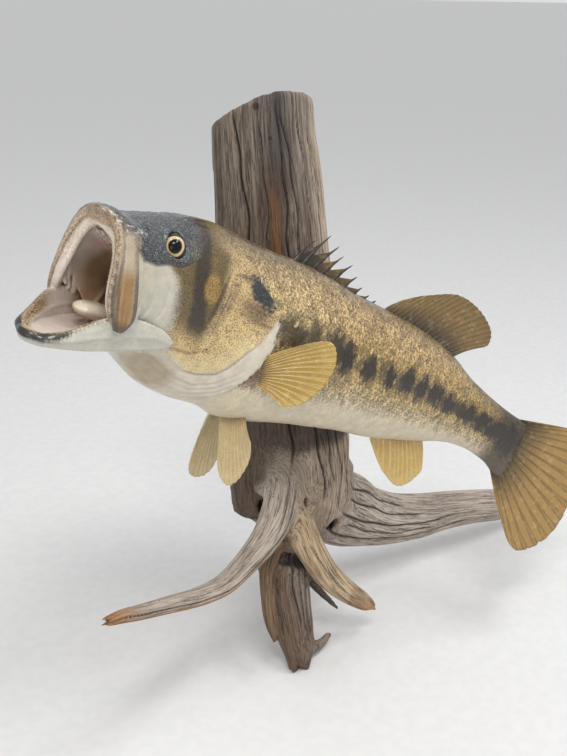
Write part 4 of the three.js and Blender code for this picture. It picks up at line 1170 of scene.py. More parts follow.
def sectionTable():
    # outline of the straight body at stations: arc length from the lateral line, and the points
    stations = np.arange(*scaleRows["stations"])
    turn = np.linspace(-np.pi / 2, np.pi / 2, 241)
    full = 2 / fullnessAt(stations)[:, None]
    half, middle = halfAt(stations)[:, None], widestAt(stations)[:, None]
    reach = np.where(turn > 0, backAt(stations)[:, None] - middle, middle - bellyAt(stations)[:, None])
    across = half * np.abs(np.cos(turn)) ** full
    up = middle + reach * np.sign(np.sin(turn)) * np.abs(np.sin(turn)) ** full
    steps = (np.diff(side, axis=1, prepend=side[:, :1]) for side in (across, up))
    arc = np.cumsum(np.hypot(*steps), axis=1)
    lateral = smoothCurve(scaleRows["lateral"])(stations)
    level = np.array([np.interp(l, u, a) for l, u, a in zip(lateral, up, arc)])
    return stations, arc - level[:, None], across, up


bodyTable = sectionTable()


def onBody(s, arc):
    # points of the body at a station and an arc length above the lateral line
    stations, arcs, across, up = bodyTable
    at = np.clip((s - stations[0]) / scaleRows["stations"][2], 0, len(stations) - 1.001)
    low = at.astype(int)
    share = at - low
    result = np.zeros((2, len(s)))
    for row, weight in ((low, 1 - share), (low + 1, share)):
        bottom, top = arcs[row, 0], arcs[row, -1]
        inner = np.where(arc > top, 2 * top - arc, np.where(arc < bottom, 2 * bottom - arc, arc))
        sign = np.where((arc > top) | (arc < bottom), -1.0, 1.0)
        w, h = np.empty(len(s)), np.empty(len(s))
        order = np.argsort(row, kind="stable")
        edges = np.r_[0, np.flatnonzero(np.diff(row[order])) + 1, len(row)]
        for a, b in zip(edges[:-1], edges[1:]):
            pick = order[a:b]
            r = row[pick[0]]
            w[pick] = np.interp(inner[pick], arcs[r], across[r])
            h[pick] = np.interp(inner[pick], arcs[r], up[r])
        result += weight * np.array([w * sign, h])
    return np.stack([s, result[1], result[0]], 1)


def scaleCentres(kind):
    # staggered rows: place along the fish and arc length from the lateral line
    rows, reach = scaleRows[kind], scaleRows["reach"]
    first, last, step = scaleRows["stations"]
    s = np.arange(first, last - 4, 0.5)
    steps = np.cumsum(0.5 / np.interp(s, *zip(*rows["pitch"])))
    spots = []
    for row in range(-reach, reach + 1):
        wanted = np.arange(1 + 0.5 * (row % 2), steps[-1], 1.0)
        along = np.interp(wanted, steps, s)
        pitch = np.interp(along, *zip(*rows["pitch"]))
        spots.append(np.stack([along, row * rows["tall"] * pitch, pitch, np.full(len(along), row)], 1))
    spots = np.vstack(spots)
    station = np.clip(((spots[:, 0] - first) / step).astype(int), 0, len(bodyTable[0]) - 1)
    bottom, top = bodyTable[1][station, 0], bodyTable[1][station, -1]
    spots = spots[(spots[:, 1] > bottom - 0.3 * spots[:, 2]) & (spots[:, 1] < top + 0.3 * spots[:, 2])]
    at = onBody(spots[:, 0] + 0.6 * spots[:, 2], spots[:, 1])
    way, margin = rows["keep"]
    return spots[way * outlineDistance(at[:, 0], at[:, 1], rows["outline"]) > margin]


def platePattern(tall):
    # one scale, tail edge towards +x, in units of the pitch: rim, inner ring, middle, under rim
    radius = tall * tall + 0.25
    turn = np.radians(np.linspace(-102, 102, scaleRows["rim"] - 3))
    rear = np.stack([radius * np.cos(turn), radius * np.sin(turn)], 1)
    front = np.array([(-0.42, 0.6), (-0.5, 0), (-0.42, -0.6)]) * radius
    rim = np.vstack([rear, front])
    middle = np.array([0.2 * radius, 0])
    inner = middle + (rim - middle) * 0.66
    count = len(rim)
    points = np.vstack([rim, inner, middle[None], rim])
    i = np.arange(count)
    j = (i + 1) % count
    faces = np.vstack([
        np.stack([i, j, j + count], 1), np.stack([i, j + count, i + count], 1),
        np.stack([i + count, j + count, np.full(count, 2 * count)], 1),
        np.stack([j, i, i + 2 * count + 1], 1), np.stack([j, i + 2 * count + 1, j + 2 * count + 1], 1),
        np.stack([np.full(count - 2, 2 * count + 1), i[2:] + 2 * count + 1, i[1:-1] + 2 * count + 1], 1),
    ])
    edge = np.r_[np.ones(count), np.full(count, 0.5), 0, np.ones(count)]
    return points, faces, edge, radius


def growPlates(kind, spots, side):
    # every plate of one kind: points, faces and the values to paint
    rows = scaleRows[kind]
    pattern, faces, edge, radius = platePattern(rows["tall"])
    count, plates = len(pattern), len(spots)
    size = spots[:, 2] * rng.uniform(0.96, 1.03, plates)
    tilt = rng.normal(0, 0.05, plates)
    cosine, sine = np.cos(tilt)[:, None], np.sin(tilt)[:, None]
    x = pattern[:, 0] * cosine - pattern[:, 1] * sine
    y = pattern[:, 0] * sine + pattern[:, 1] * cosine
    s = (spots[:, :1] + x * size[:, None]).ravel()
    arc = (spots[:, 1:2] + y * size[:, None]).ravel()
    base = onBody(s, arc)
    steps = ((0.5, 0), (-0.5, 0), (0, 0.5), (0, -0.5))
    ahead, behind, above, below = (onBody(s + a, arc + b) for a, b in steps)
    normal = unit(np.cross(above - below, ahead - behind))
    outward = np.c_[0 * s, base[:, 1] - widestAt(s), base[:, 2]]
    normal *= np.sign((normal * outward).sum(1, keepdims=True))
    rise = np.tile((pattern[:, 0] / radius + 0.5) / 1.5, plates)
    rim = np.tile(edge, plates)
    vary = np.repeat(rng.uniform(0.7, 1.3, plates) * size / 4.6, count)
    height = rise * rows["lift"] * np.maximum(vary, 0.5) - rows["sunk"] - 0.1 * rim**2
    under = np.tile(np.arange(count) > count - scaleRows["rim"] - 1, plates)
    height = np.where(under, -rows["sunk"] - 0.25, height)
    height += skinRelief(*base.T, normal) - bodyShape["sink"]
    points = base + normal * height[:, None]
    exposed = onBody(spots[:, 0] + 0.55 * radius * size, spots[:, 1])
    own, fleck = fishMarkings(exposed)
    colour = np.repeat(own, count, 0) * 0.65 + fishMarkings(base)[0] * 0.35
    each = rng.random(plates)
    each = np.where(spots[:, 3] == 0, each * 0.4, each) if kind == "trunk" else each
    turn = np.arctan2(exposed[:, 1] - widestAt(exposed[:, 0]), exposed[:, 2]) / np.pi
    middle = np.stack([0.02 + 0.96 * spots[:, 0] / 545, 0.5 + side * (0.25 + 0.24 * 2 * turn)], 1)
    spread = middle[:, None, :] + (pattern / radius * 0.0015)[None]  # for the bake
    faces = (faces[None] + (np.arange(plates) * count)[:, None, None]).reshape(-1, 3)
    points[:, 2] *= side
    base[:, 2] *= side
    return points, faces[:, ::side], {
        "markings": colour, "place": base, "fleck": np.repeat(fleck, count), "each": np.repeat(each, count),
        "rim": rim, "grit": np.repeat(gritAt(*exposed.T, fleck), count), "uv": spread.reshape(-1, 2),
    }


def buildScales(name, side, kinds):
    points, faces, values = joinParts([growPlates(kind, spots, side) for kind, spots in kinds.items()])
    uv = values.pop("uv")
    piece = makeMesh(name, poseFish(points), faces, scaleMaterial)
    paintValues(piece, **values)
    mesh = piece.data
    layer = mesh.uv_layers.new(name="OFBake")
    corners = np.empty(len(mesh.loops), np.int32)
    mesh.loops.foreach_get("vertex_index", corners)
    layer.data.foreach_set("uv", uv[corners].astype(np.float32).ravel())
    ends = np.empty(len(mesh.edges) * 2, np.int32)
    mesh.edges.foreach_get("vertices", ends)
    sharp = (values["rim"] == 1)[ends].reshape(-1, 2).all(1)
    mesh.attributes.new("sharp_edge", "BOOLEAN", "EDGE").data.foreach_set("value", sharp)
    print(name, len(faces), "triangles")


scaleMaterial = skinMaterial("fishScales", 0.52, 0.0003, scaled=True)
scaleSpots = {kind: scaleCentres(kind) for kind in ("trunk", "opercle", "cheek")}
print({kind: len(spots) for kind, spots in scaleSpots.items()})
front = scaleSpots["trunk"][:, 0] < scaleRows["split"]
for side, label in ((1, "left"), (-1, "right")):
    buildScales("scales_front_" + label, side, {**scaleSpots, "trunk": scaleSpots["trunk"][front]})
    buildScales("scales_rear_" + label, side, {"trunk": scaleSpots["trunk"][~front]})


# fins: two-sided blades with raised rays, thin webs and a worn edge
fins = {
    "fin_dorsal_spiny": {
        "half": (1.5, 0.42), "scallop": 0.56, "spines": (1.9, 0.45), "darkFront": 2.2, "web": 0.45,
        "slot": "fin_dark", "base": 0x0f0f0e, "ray": 0x100e0b, "cloth": 0x7a602c, "edge": 0x9c8140,
        "bow": 1.5, "baseReach": 0.95,
        "rays": [
            [(203, 58, 0), (216, 87.5, 0)], [(212, 58, 0), (228.5, 97.5, 0)], [(223, 58, 0), (241.5, 93, 0)],
            [(234, 58, 0), (250, 87, 0)], [(246, 57.5, 0), (263, 84.5, 0)], [(260, 56.5, 0), (272.8, 77, 0)],
            [(274, 56, 0), (283, 70.8, 0)], [(287, 56, 0), (293.5, 67.5, 0)], [(297, 56, 0), (303, 66, 0)],
        ],
    },
    "fin_dorsal_soft": {
        "half": (1.8, 0.35), "scallop": 0.02, "web": 0.4, "slot": "fin_dark",
        "base": 0x1c160d, "ray": 0x4a3a20, "cloth": 0x7c6338, "edge": 0x6f582f, "bow": 2.5,
        "baseReach": 0.66, "rayCount": 22,
        "rays": [
            [(311, 56, 0), (330, 78.5, 0.5)], [(319, 56, 0), (344, 88.5, 1.5)],
            [(328, 56, 0), (358, 96.2, 2.5)], [(337, 56, 0), (370, 102.4, 3)],
            [(346, 56, 0), (382, 106.6, 3.2)], [(355, 55, 0), (394, 107.4, 3.3)],
            [(364, 55, 0), (406, 106, 3.2)], [(373, 54, 0), (418, 102.8, 3)],
            [(381, 53, 0), (429, 98, 2.6)], [(389, 52, 0), (438, 92, 2)], [(396, 50, 0), (443, 84.6, 1.2)],
            [(402, 48, 0), (443, 77, 0.6)], [(407, 46.5, 0), (434, 71, 0)],
        ],
    },
    "fin_anal": {
        "half": (1.6, 0.35), "scallop": 0.02, "web": 0.4, "slot": "fin_pale",
        "base": 0x7d6945, "ray": 0xe0c88e, "cloth": 0xb79753, "edge": 0xcdb375, "bow": -2, "rayCount": 14,
        "rays": [
            [(361, -46, 0), (367, -53, 0)], [(368, -44, 0), (381, -65, 0)], [(376, -42, 0), (396, -76, 0)],
            [(387, -39, 0), (413, -84, 0)], [(393, -37, 0), (421, -85.6, 0)], [(399, -35, 0), (428, -83, 0)],
            [(405, -33, 0), (434, -77, 0)], [(410, -31.5, 0), (438.5, -69, 0)],
            [(415, -30, 0), (440.5, -62, 0)], [(420, -28.5, 0), (438, -55.6, 0)],
        ],
    },
    "fin_tail": {
        "half": (2.4, 0.35), "scallop": 0.012, "web": 0.4, "slot": "fin_amber",
        "base": 0x1a130b, "ray": 0x65492a, "cloth": 0x9c7c46, "edge": 0x9f8049, "bow": 0, "baseReach": 0.6,
        "rays": [
            [(514, -30.5, 0), (541, -61, 0)], [(515, -29.5, 0), (560, -80, 1)],
            [(516, -28, 0), (575, -94, 2)], [(517, -26, 0), (588, -99.5, 2.4)],
            [(518, -24, 0), (599, -95, 2.4)], [(518, -19.6, 0), (608, -86, 2)],
            [(518, -15.5, 0), (615, -75, 1.4)], [(518, -11.5, 0), (619.6, -62, 0.8)],
            [(518, -7.5, 0), (621.6, -48, 0.2)], [(518, -3.6, 0), (621, -34, 0)],
            [(518, 0.2, 0), (618.5, -20, 0)], [(518, 3.8, 0), (617.5, -6, 0)],
            [(518, 7.4, 0), (619.5, 8, 0)], [(518, 11, 0), (624, 22, 0)],
            [(518, 14.2, 0), (629, 34.5, 0.4)], [(518, 17.2, 0), (632, 44.5, 1)],
            [(518, 20, 0), (631, 51.5, 1.2)], [(518, 22.4, 0), (620, 52, 1)],
            [(517, 24.2, 0), (601, 45.5, 0.6)], [(517, 25.6, 0), (566, 37.5, 0)],
        ],
    },
    "fin_pectoral": {
        "half": (2.0, 0.35), "scallop": 0.012, "web": 0.4, "slot": "fin_amber", "rayCount": 16,
        "base": 0x4a3722, "ray": 0xe3cb8c, "cloth": 0xa08139, "edge": 0xbd9f52, "bow": 3,
        "rays": [
            [(186, -27, 37), (216.5, 10, 61)], [(187, -28.5, 37.4), (223.5, 14.5, 65)],
            [(188, -30, 37.6), (230, 15.5, 68)], [(189, -31.5, 37.8), (235, 11.5, 69.6)],
            [(190, -33, 37.8), (239, 5, 70.4)], [(191, -34.5, 37.8), (241.5, -3.5, 70.2)],
            [(191.8, -36, 37.6), (242, -13.5, 68.8)], [(192.4, -37.5, 37.4), (240.5, -24.5, 66.4)],
            [(193, -39, 37), (236.5, -35.5, 63)], [(193.4, -40.5, 36.4), (230, -44, 59.4)],
            [(193.6, -42, 35.8), (219.5, -50, 54)],
        ],
    },
    "fin_pelvic": {
        "half": (2.0, 0.4), "scallop": 0.03, "web": 0.4, "slot": "fin_pale",
        "base": 0x8a7350, "ray": 0xddcfac, "cloth": 0xb09a6c, "edge": 0xc4b184, "bow": 2, "rayCount": 15,
        "rays": [
            [(200, -77, 8), (209, -104, 11.5)], [(202, -77, 9.6), (214.5, -119, 14)],
            [(204.4, -76.6, 11.4), (221, -130, 18)], [(207, -76, 13.4), (229, -134.5, 22.6)],
            [(209.6, -75, 15.4), (234, -129, 25.6)], [(212, -73.8, 17.2), (236.4, -117, 26.6)],
            [(214, -72.6, 18.6), (236, -104, 26)], [(215.6, -71.4, 19.8), (231.5, -92.5, 24.2)],
        ],
        "farTips": [
            (204, -112, 12), (207.5, -130, 15), (213.5, -142, 18.6), (221.5, -147.5, 22), (231, -147, 25),
            (239.5, -140, 27), (242, -126, 28), (239, -110, 27),
        ],
    },
}
finDetail = {
    "between": 10, "along": 44, "rayWidth": 0.1, "jointPitch": 2.6, "streak": 0x241c10, "sheen": 0xf0dcae,
}


def finMaterial(name):
    finish = Finish(name)
    base, place = finish.read("markings", "Color"), finish.read("place", "Vector")
    streaks, cloudy = finish.noise(place, 0.9, 3.0, 0.65), finish.noise(place, 0.16)
    colour = finish.mix(finish.ramp(streaks, 0.5, 0.72, 0.0, 0.4), base, colourOf(finDetail["streak"]))
    light = finish.ramp(cloudy, 0.5, 0.75, 0.0, 0.15)
    return finish.give(
        Base_Color=finish.mix(light, colour, colourOf(finDetail["sheen"])),
        Roughness=finish.ramp(streaks, 0.3, 0.7, 0.34, 0.55), Coat_Weight=0.25, Coat_Roughness=0.2,
        Normal=finish.bump(streaks, 0.8, 0.00012),
    )


def finRidges(fin, offset, length):
    # rays that fork towards the edge, or single spines
    if "spines" in fin:
        return np.exp(-((offset[:, None] / 0.1) ** 2)) * np.ones(length.shape)
    ridge = np.zeros(length.shape)
    first, second = 0.13 * ease(length, 0.32, 1.0), 0.075 * ease(length, 0.62, 1.05)
    thin = finDetail["rayWidth"] * (1 - 0.62 * ease(length, 0.2, 0.95))
    for a in (-1, 1):
        for b in (-1, 1):
            away = offset[:, None] - a * first - b * second
            ridge = np.maximum(ridge, np.exp(-((away / thin) ** 2)))
    return ridge


def finNormals(root, tip, t):
    # which way the blade faces at every ray, evened out along the fin
    between = finDetail["between"]
    straight = root[:, None] + (tip - root)[:, None] * t[None, :, None]
    acrossStep = np.gradient(straight, axis=0)[:, :int(len(t) * 0.6)].mean(1)
    normal = unit(np.cross(acrossStep, tip - root))
    window = np.ones(2 * between + 1) / (2 * between + 1)
    padded = np.pad(normal, ((between, between), (0, 0)), mode="edge")
    return unit(np.stack([np.convolve(padded[:, k], window, "valid") for k in range(3)], 1))


def finReach(fin, place, gap):
    # how far the worn and scalloped edge comes at every place along the fin
    count = place[-1] + 1
    wear = ripple(place * 3.1, place * 0.7, place * 1.3, 1.0, count * 0.37)
    cut = 0.4 * fin["scallop"] * ease(gap, 0.0, 0.4)
    if "spines" in fin:
        after = np.where(gap < 1e-6, 0.0, np.mod(place, 1.0))
        web = 1 - 0.85 * np.maximum(after - 0.2, 0) ** 1.3
        cut = fin["scallop"] * ease(after, 0.0, 0.16) * web * (gap > 1e-6)
    return 1 - cut - 0.006 * np.abs(wear) - 0.012 * ease(wear, 0.62, 0.9) * (gap > 0.2)


def growFin(name, fin, side=1, tips=None):
    rays = np.array(fin["rays"], float)
    if tips is not None:
        rays[:, 1] = tips
    rays[:, :, 2] *= side
    count = fin.get("rayCount", len(rays))
    columns = (count - 1) * finDetail["between"] + 1
    place = np.linspace(0, count - 1, columns)
    offset = place - np.round(place)
    ends = refineRows(rays, columns)
    root, tip = ends[:, 0], ends[:, 1]
    direction = tip - root
    t = np.linspace(0, 1, finDetail["along"]) ** 0.9
    length = t[None, :] * finReach(fin, place, np.abs(offset))[:, None]
    normal = finNormals(root, tip, t)
    sweep = unit(np.cross(normal, direction))
    points = root[:, None] + direction[:, None] * length[..., None]
    points = points + sweep[:, None] * (fin["bow"] * np.sin(np.pi * np.clip(length, 0, 1)) * 0.6)[..., None]
    # thickness: rays, their joints and the web between
    ridge = finRidges(fin, offset, length)
    long = np.linalg.norm(direction, axis=1)[:, None]
    joints = 0.5 + 0.5 * np.sin(length * long * 2 * np.pi / finDetail["jointPitch"])
    hard = ease(length, 0.25, 0.4)
    half = fin["half"][0] + (fin["half"][1] - fin["half"][0]) * length ** 0.7
    thick = half * (fin["web"] + (1 - fin["web"]) * ridge * (1 - 0.12 * joints * hard)) + 0.02
    crease = 0.35 * ripple(place[:, None] * 9, length * 30, 0 * length, 4.0, 1.0) * length
    points = points + normal[:, None] * crease[..., None]
    thick[[0, -1]] *= 0.5
    thick[:, -1] *= 0.35
    sides = [points + normal[:, None] * (way * thick)[..., None] for way in (1, -1)]
    rows = len(t)
    total = columns * rows
    number, quads = gridFaces(columns, rows)
    loop = np.r_[number[:, 0], number[-1, 1:], number[-2::-1, -1], number[0, -2:0:-1]]
    after = np.roll(loop, -1)
    faces = np.vstack([
        quads, quads[:, ::-1] + total,
        np.stack([after, loop, loop + total, after + total], 1),
    ])
    layers = (ridge, length, joints * hard * ridge)
    shade, share, marks = (np.tile(layer.ravel(), 2)[:, None] for layer in layers)
    cloth, ray, base, edge = (linearColour(fin[k]) for k in ("cloth", "ray", "base", "edge"))
    colour = cloth + (ray - cloth) * (shade * 0.85)
    colour = colour + (edge - colour) * ease(share, 0.7, 1.0) * 0.35
    colour = colour * (1 - 0.3 * marks)
    colour = colour + (base - colour) * ease(share, fin.get("baseReach", 0.28), 0.02) * 0.88
    if "darkFront" in fin:
        front = ease(np.tile(np.repeat(place, rows), 2), fin["darkFront"] + 0.8, fin["darkFront"] - 1.2)
        colour = colour + (base - colour) * (front * 0.8)[:, None]
    parts = [(np.vstack([side.reshape(-1, 3) for side in sides]), faces, {"markings": colour})]
    if "spines" in fin:
        parts += [spineRod(ray, fin) for ray in rays]
    points, faces, values = joinParts(parts)
    piece = makeMesh(name, poseFish(points), faces, finMaterial(name))
    paintValues(piece, **values, place=points)
    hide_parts(name)


def spineRod(ray, fin):
    # a round tapering spine with a closed point
    t = np.linspace(0, 1.0, 26)
    radius = fin["spines"][0] + (fin["spines"][1] - fin["spines"][0]) * t
    radius[-3:] *= (0.85, 0.55, 0.12)
    direction = (ray[1] - ray[0]) / np.linalg.norm(ray[1] - ray[0])
    out = np.array([0, 0, 1.0])
    sweep = np.cross(out, direction)
    centre = ray[0] + (ray[1] - ray[0]) * t[:, None]
    centre = centre + sweep * (fin["bow"] * np.sin(np.pi * t) * 0.6)[:, None]
    turn = roundTurn(10)
    ring = np.cos(turn)[:, None] * sweep + np.sin(turn)[:, None] * out
    points = (centre[:, None] + radius[:, None, None] * ring[None]).reshape(-1, 3)
    colour = np.tile(linearColour(fin["ray"]), (len(points), 1))
    return points, tubeFaces(len(t), len(turn)), {"markings": colour}


print("fins")
for name, fin in fins.items():
    if name in ("fin_pectoral", "fin_pelvic"):
        growFin(name + "_left", fin)
        growFin(name + "_right", fin, -1, fin.get("farTips"))
    else:
        growFin(name, fin)


# eyes
eyeFinish = {
    "pupil": 0x040404, "iris": 0x150e08, "gold": 0x8d6c34, "cream": 0xc7b492, "rim": 0x2a211a,
    "bands": [(4.5, 4.7, "iris"), (5.0, 5.3, "gold"), (5.4, 5.8, "cream"), (7.3, 7.8, "rim")],  # from, to
    "fibres": (0.62, 0.5, 0.36, 1.0), "rings": 44, "around": 56,
}


def eyeMaterial():
    finish = Finish("glassEye")
    base, place = finish.read("markings", "Color"), finish.read("place", "Vector")
    fibres = finish.ramp(finish.noise(place, 1.6, 3.0, 0.7), 0.45, 0.7, 0.0, 0.6)
    return finish.give(
        Base_Color=finish.mix(fibres, base, eyeFinish["fibres"], "MULTIPLY"), Roughness=0.16,
        Specular_IOR_Level=0.1, Coat_IOR=1.33, Coat_Weight=0.8, Coat_Roughness=0.015,
    )


def buildEye(name, side, material):
    # a glass eye: pupil and iris in a pale ring, under a clear front
    rings = eyeFinish["rings"]
    middle, faces = eyePlace(side)
    right = unit(np.cross([0, 1.0, 0], faces))
    up = np.cross(faces, right)
    polar = np.linspace(0, np.radians(100), rings)
    turn = roundTurn(eyeFinish["around"])
    reach = eyeShape["radius"] * np.sin(polar)
    front = eyeShape["radius"] * np.cos(polar) + 0.3 * ease(reach, 5.6, 1.8) * (polar < 1.2)
    front = front - 0.25 * groove(reach - 5.3, 0.5) * (polar < 1.2)
    ring = np.cos(turn)[:, None] * right + np.sin(turn)[:, None] * up
    points = middle + reach[:, None, None] * ring[None] + front[:, None, None] * faces
    points = points.reshape(-1, 3)
    r = np.repeat(np.where(polar > 1.45, 12.0, reach), len(turn))
    r = r * (1 + 0.02 * np.tile(np.cos(3 * turn), rings))
    colour = np.tile(linearColour(eyeFinish["pupil"]), (len(points), 1))
    for low, high, tone in eyeFinish["bands"]:
        colour = colour + (linearColour(eyeFinish[tone]) - colour) * ease(r, low, high)[:, None]
    quads = tubeFaces(rings, len(turn))[:, [0, 3, 2, 1]]
    piece = makeMesh(name + "_glass", poseFish(points), quads, material)
    paintValues(piece, markings=colour, place=points)
    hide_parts(name)


print("eyes")
eyeGlass = eyeMaterial()
buildEye("eye_left", 1, eyeGlass)
buildEye("eye_right", -1, eyeGlass)


# tongue
tongueShape = {
    "rows": [  # place, middle height, half width, half thickness
        (27, -40.5, 3, 2), (30, -39.5, 8, 4.4), (38, -38.6, 11.3, 6.2), (52, -38.6, 12.8, 6.8),
        (70, -39, 13.3, 6.4), (88, -39, 11.8, 5.4), (100, -38, 8.8, 4.2),
    ],
    # the deep tongue colour is painted shade towards the throat
    "along": 60, "around": 40, "tone": 0xd8cdb8, "edge": 0xb59f8c, "mouthShade": 0x7d6350, "fleck": 0xa98574,
}


def buildTongue():
    rows = np.array(tongueShape["rows"], float)
    s = np.r_[26.2, 26.5, np.linspace(27, 100, tongueShape["along"]), 100.6]
    middle, half, thick = (smoothCurve(rows[:, [0, k]])(s) for k in (1, 2, 3))
    close = np.ones(len(s))
    close[[0, 1, -1]] = (0.05, 0.6, 0.1)
    turn = roundTurn(tongueShape["around"])
    w = (half * close)[:, None] * np.cos(turn)
    lift = np.sin(turn)
    furrow = 1.3 * groove(w, 2.2) * (lift > 0) * ease(s, 32, 48)[:, None]
    h = middle[:, None] + (thick * close)[:, None] * lift - furrow
    across = s[:, None] + 0 * w
    rough = 0.3 * ripple(across, h, w, 2.4, 0.6) + 0.5 * ripple(across, h, w, 8.0, 0.2)
    h = h + rough * ease(lift, 0, 0.5) * close[:, None]
    points = np.stack([np.broadcast_to(s[:, None], w.shape), h, w], -1).reshape(-1, 3)
    piece = makeMesh("tongue_flesh", poseFish(points), tubeFaces(len(s), len(turn)), fleshMaterial())
    tone, under, dark = (linearColour(tongueShape[k]) for k in ("tone", "edge", "mouthShade"))
    edge = np.broadcast_to(ease(lift, 0.4, -0.5), w.shape).ravel()[:, None]
    colour = tone * (1 - edge) + under * edge
    # painted shade: the tongue darker towards the throat
    mouthShade = ease(points[:, 0], 55, 90)[:, None]
    paintValues(piece, markings=colour + (dark - colour) * mouthShade, place=points)
    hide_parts("tongue")


def fleshMaterial():
    finish = Finish("tongueFlesh")
    base, place = finish.read("markings", "Color"), finish.read("place", "Vector")
    fine = finish.noise(place, 0.8)
    share = finish.ramp(fine, 0.45, 0.7, 0.0, 0.3)
    return finish.give(
        Base_Color=finish.mix(share, base, colourOf(tongueShape["fleck"])), Roughness=0.4,
        Coat_Weight=0.5, Coat_Roughness=0.1, Normal=finish.bump(fine, 1.0, 0.0002),
    )


buildTongue()


# fine teeth on the bands of both jaws
teeth = {
    "spacing": 1.35, "height": (0.8, 1.5), "width": 0.34,
    "tone": 0xcdb78c, "tip": 0xeee2c4, "stain": 0x8a6b42,
    "rows": [  # jaw, its two edges, last step, shares across the band, what the teeth point at
        (upperRows, (0, 1), 30, (0.06, 0.24, 0.42, 0.6, 0.78), (12.0, -22, 0)),
        (lowerRows, (0, 3), 26, (0.1, 0.35, 0.6, 0.85), (10.0, -10, 0)),
    ],
}


def toothRoots():
    # where the rows meet the skin, and which way each tooth stands
    frontFaces = skinFaces[skinPoints[skinFaces[:, 0], 0] < 60]
    tree = BVHTree.FromPolygons(skinPoints.tolist(), frontFaces.tolist())
    roots, ups = [], []
    for rows, (first, second), last, shares, target in teeth["rows"]:
        line, other = rows[:, first], rows[:, second]
        steps = np.r_[0, np.cumsum(np.linalg.norm(np.diff(line, axis=0), axis=1))]
        for k, share in enumerate(shares):
            wanted = np.arange(0.3 * k, steps[last], teeth["spacing"])
            for at in wanted + rng.uniform(-0.3, 0.3, len(wanted)):
                own = share + rng.uniform(-0.12, 0.12)
                across = line + (other - line) * own
                p = np.array([np.interp(at, steps, across[:, q]) for q in range(3)])
                p = p + rng.normal(0, 0.3, 3)
                for side in (1, -1):
                    q = p * [1, 1, side]
                    towards = target - q
                    towards /= np.linalg.norm(towards)
                    hit, normal, _, _ = tree.ray_cast(Vector(q + towards * 9), Vector(-towards), 14)
                    if hit is not None:
                        roots.append(np.array(hit))
                        lean = rng.normal(0, 0.12, 3)
                        ups.append(0.6 * np.array(normal) + 0.5 * towards + lean + [0.25, 0, 0])
    return np.array(roots), unit(np.array(ups))


def buildTeeth():
    roots, ups = toothRoots()
    across = unit(np.cross(ups, [0.3, 0.1, 0.9]))
    beside = np.cross(ups, across)
    height = rng.uniform(*teeth["height"], len(roots))[:, None]
    count = 5
    ring = [
        roots + teeth["width"] * (np.cos(a) * across + np.sin(a) * beside) - ups * 0.3
        for a in roundTurn(count)
    ]
    tip = roots + ups * height + np.array([0.35, 0, 0]) * height
    points = np.stack(ring + [tip, roots - ups * 0.4], 1).reshape(-1, 3)
    i = np.arange(count)
    after = (i + 1) % count
    pattern = np.vstack([np.stack([i, after, 0 * i + count], 1), np.stack([after, i, 0 * i + count + 1], 1)])
    faces = (pattern[None] + (np.arange(len(roots)) * (count + 2))[:, None, None]).reshape(-1, 3)
    finish = Finish("teeth")
    base, place = finish.read("markings", "Color"), finish.read("place", "Vector")
    share = finish.ramp(finish.noise(place, 0.6, 2.0), 0.4, 0.7, 0, 0.4)
    finish.give(Base_Color=finish.mix(share, base, colourOf(teeth["stain"])), Roughness=0.35)
    piece = makeMesh("teeth", poseFish(points), faces, finish.material)
    tone = np.tile(linearColour(teeth["tone"]), (count + 2, 1))
    tone[count] = linearColour(teeth["tip"])
    paintValues(piece, markings=np.tile(tone, (len(roots), 1)), place=points)
    print("teeth", len(roots))


buildTeeth()


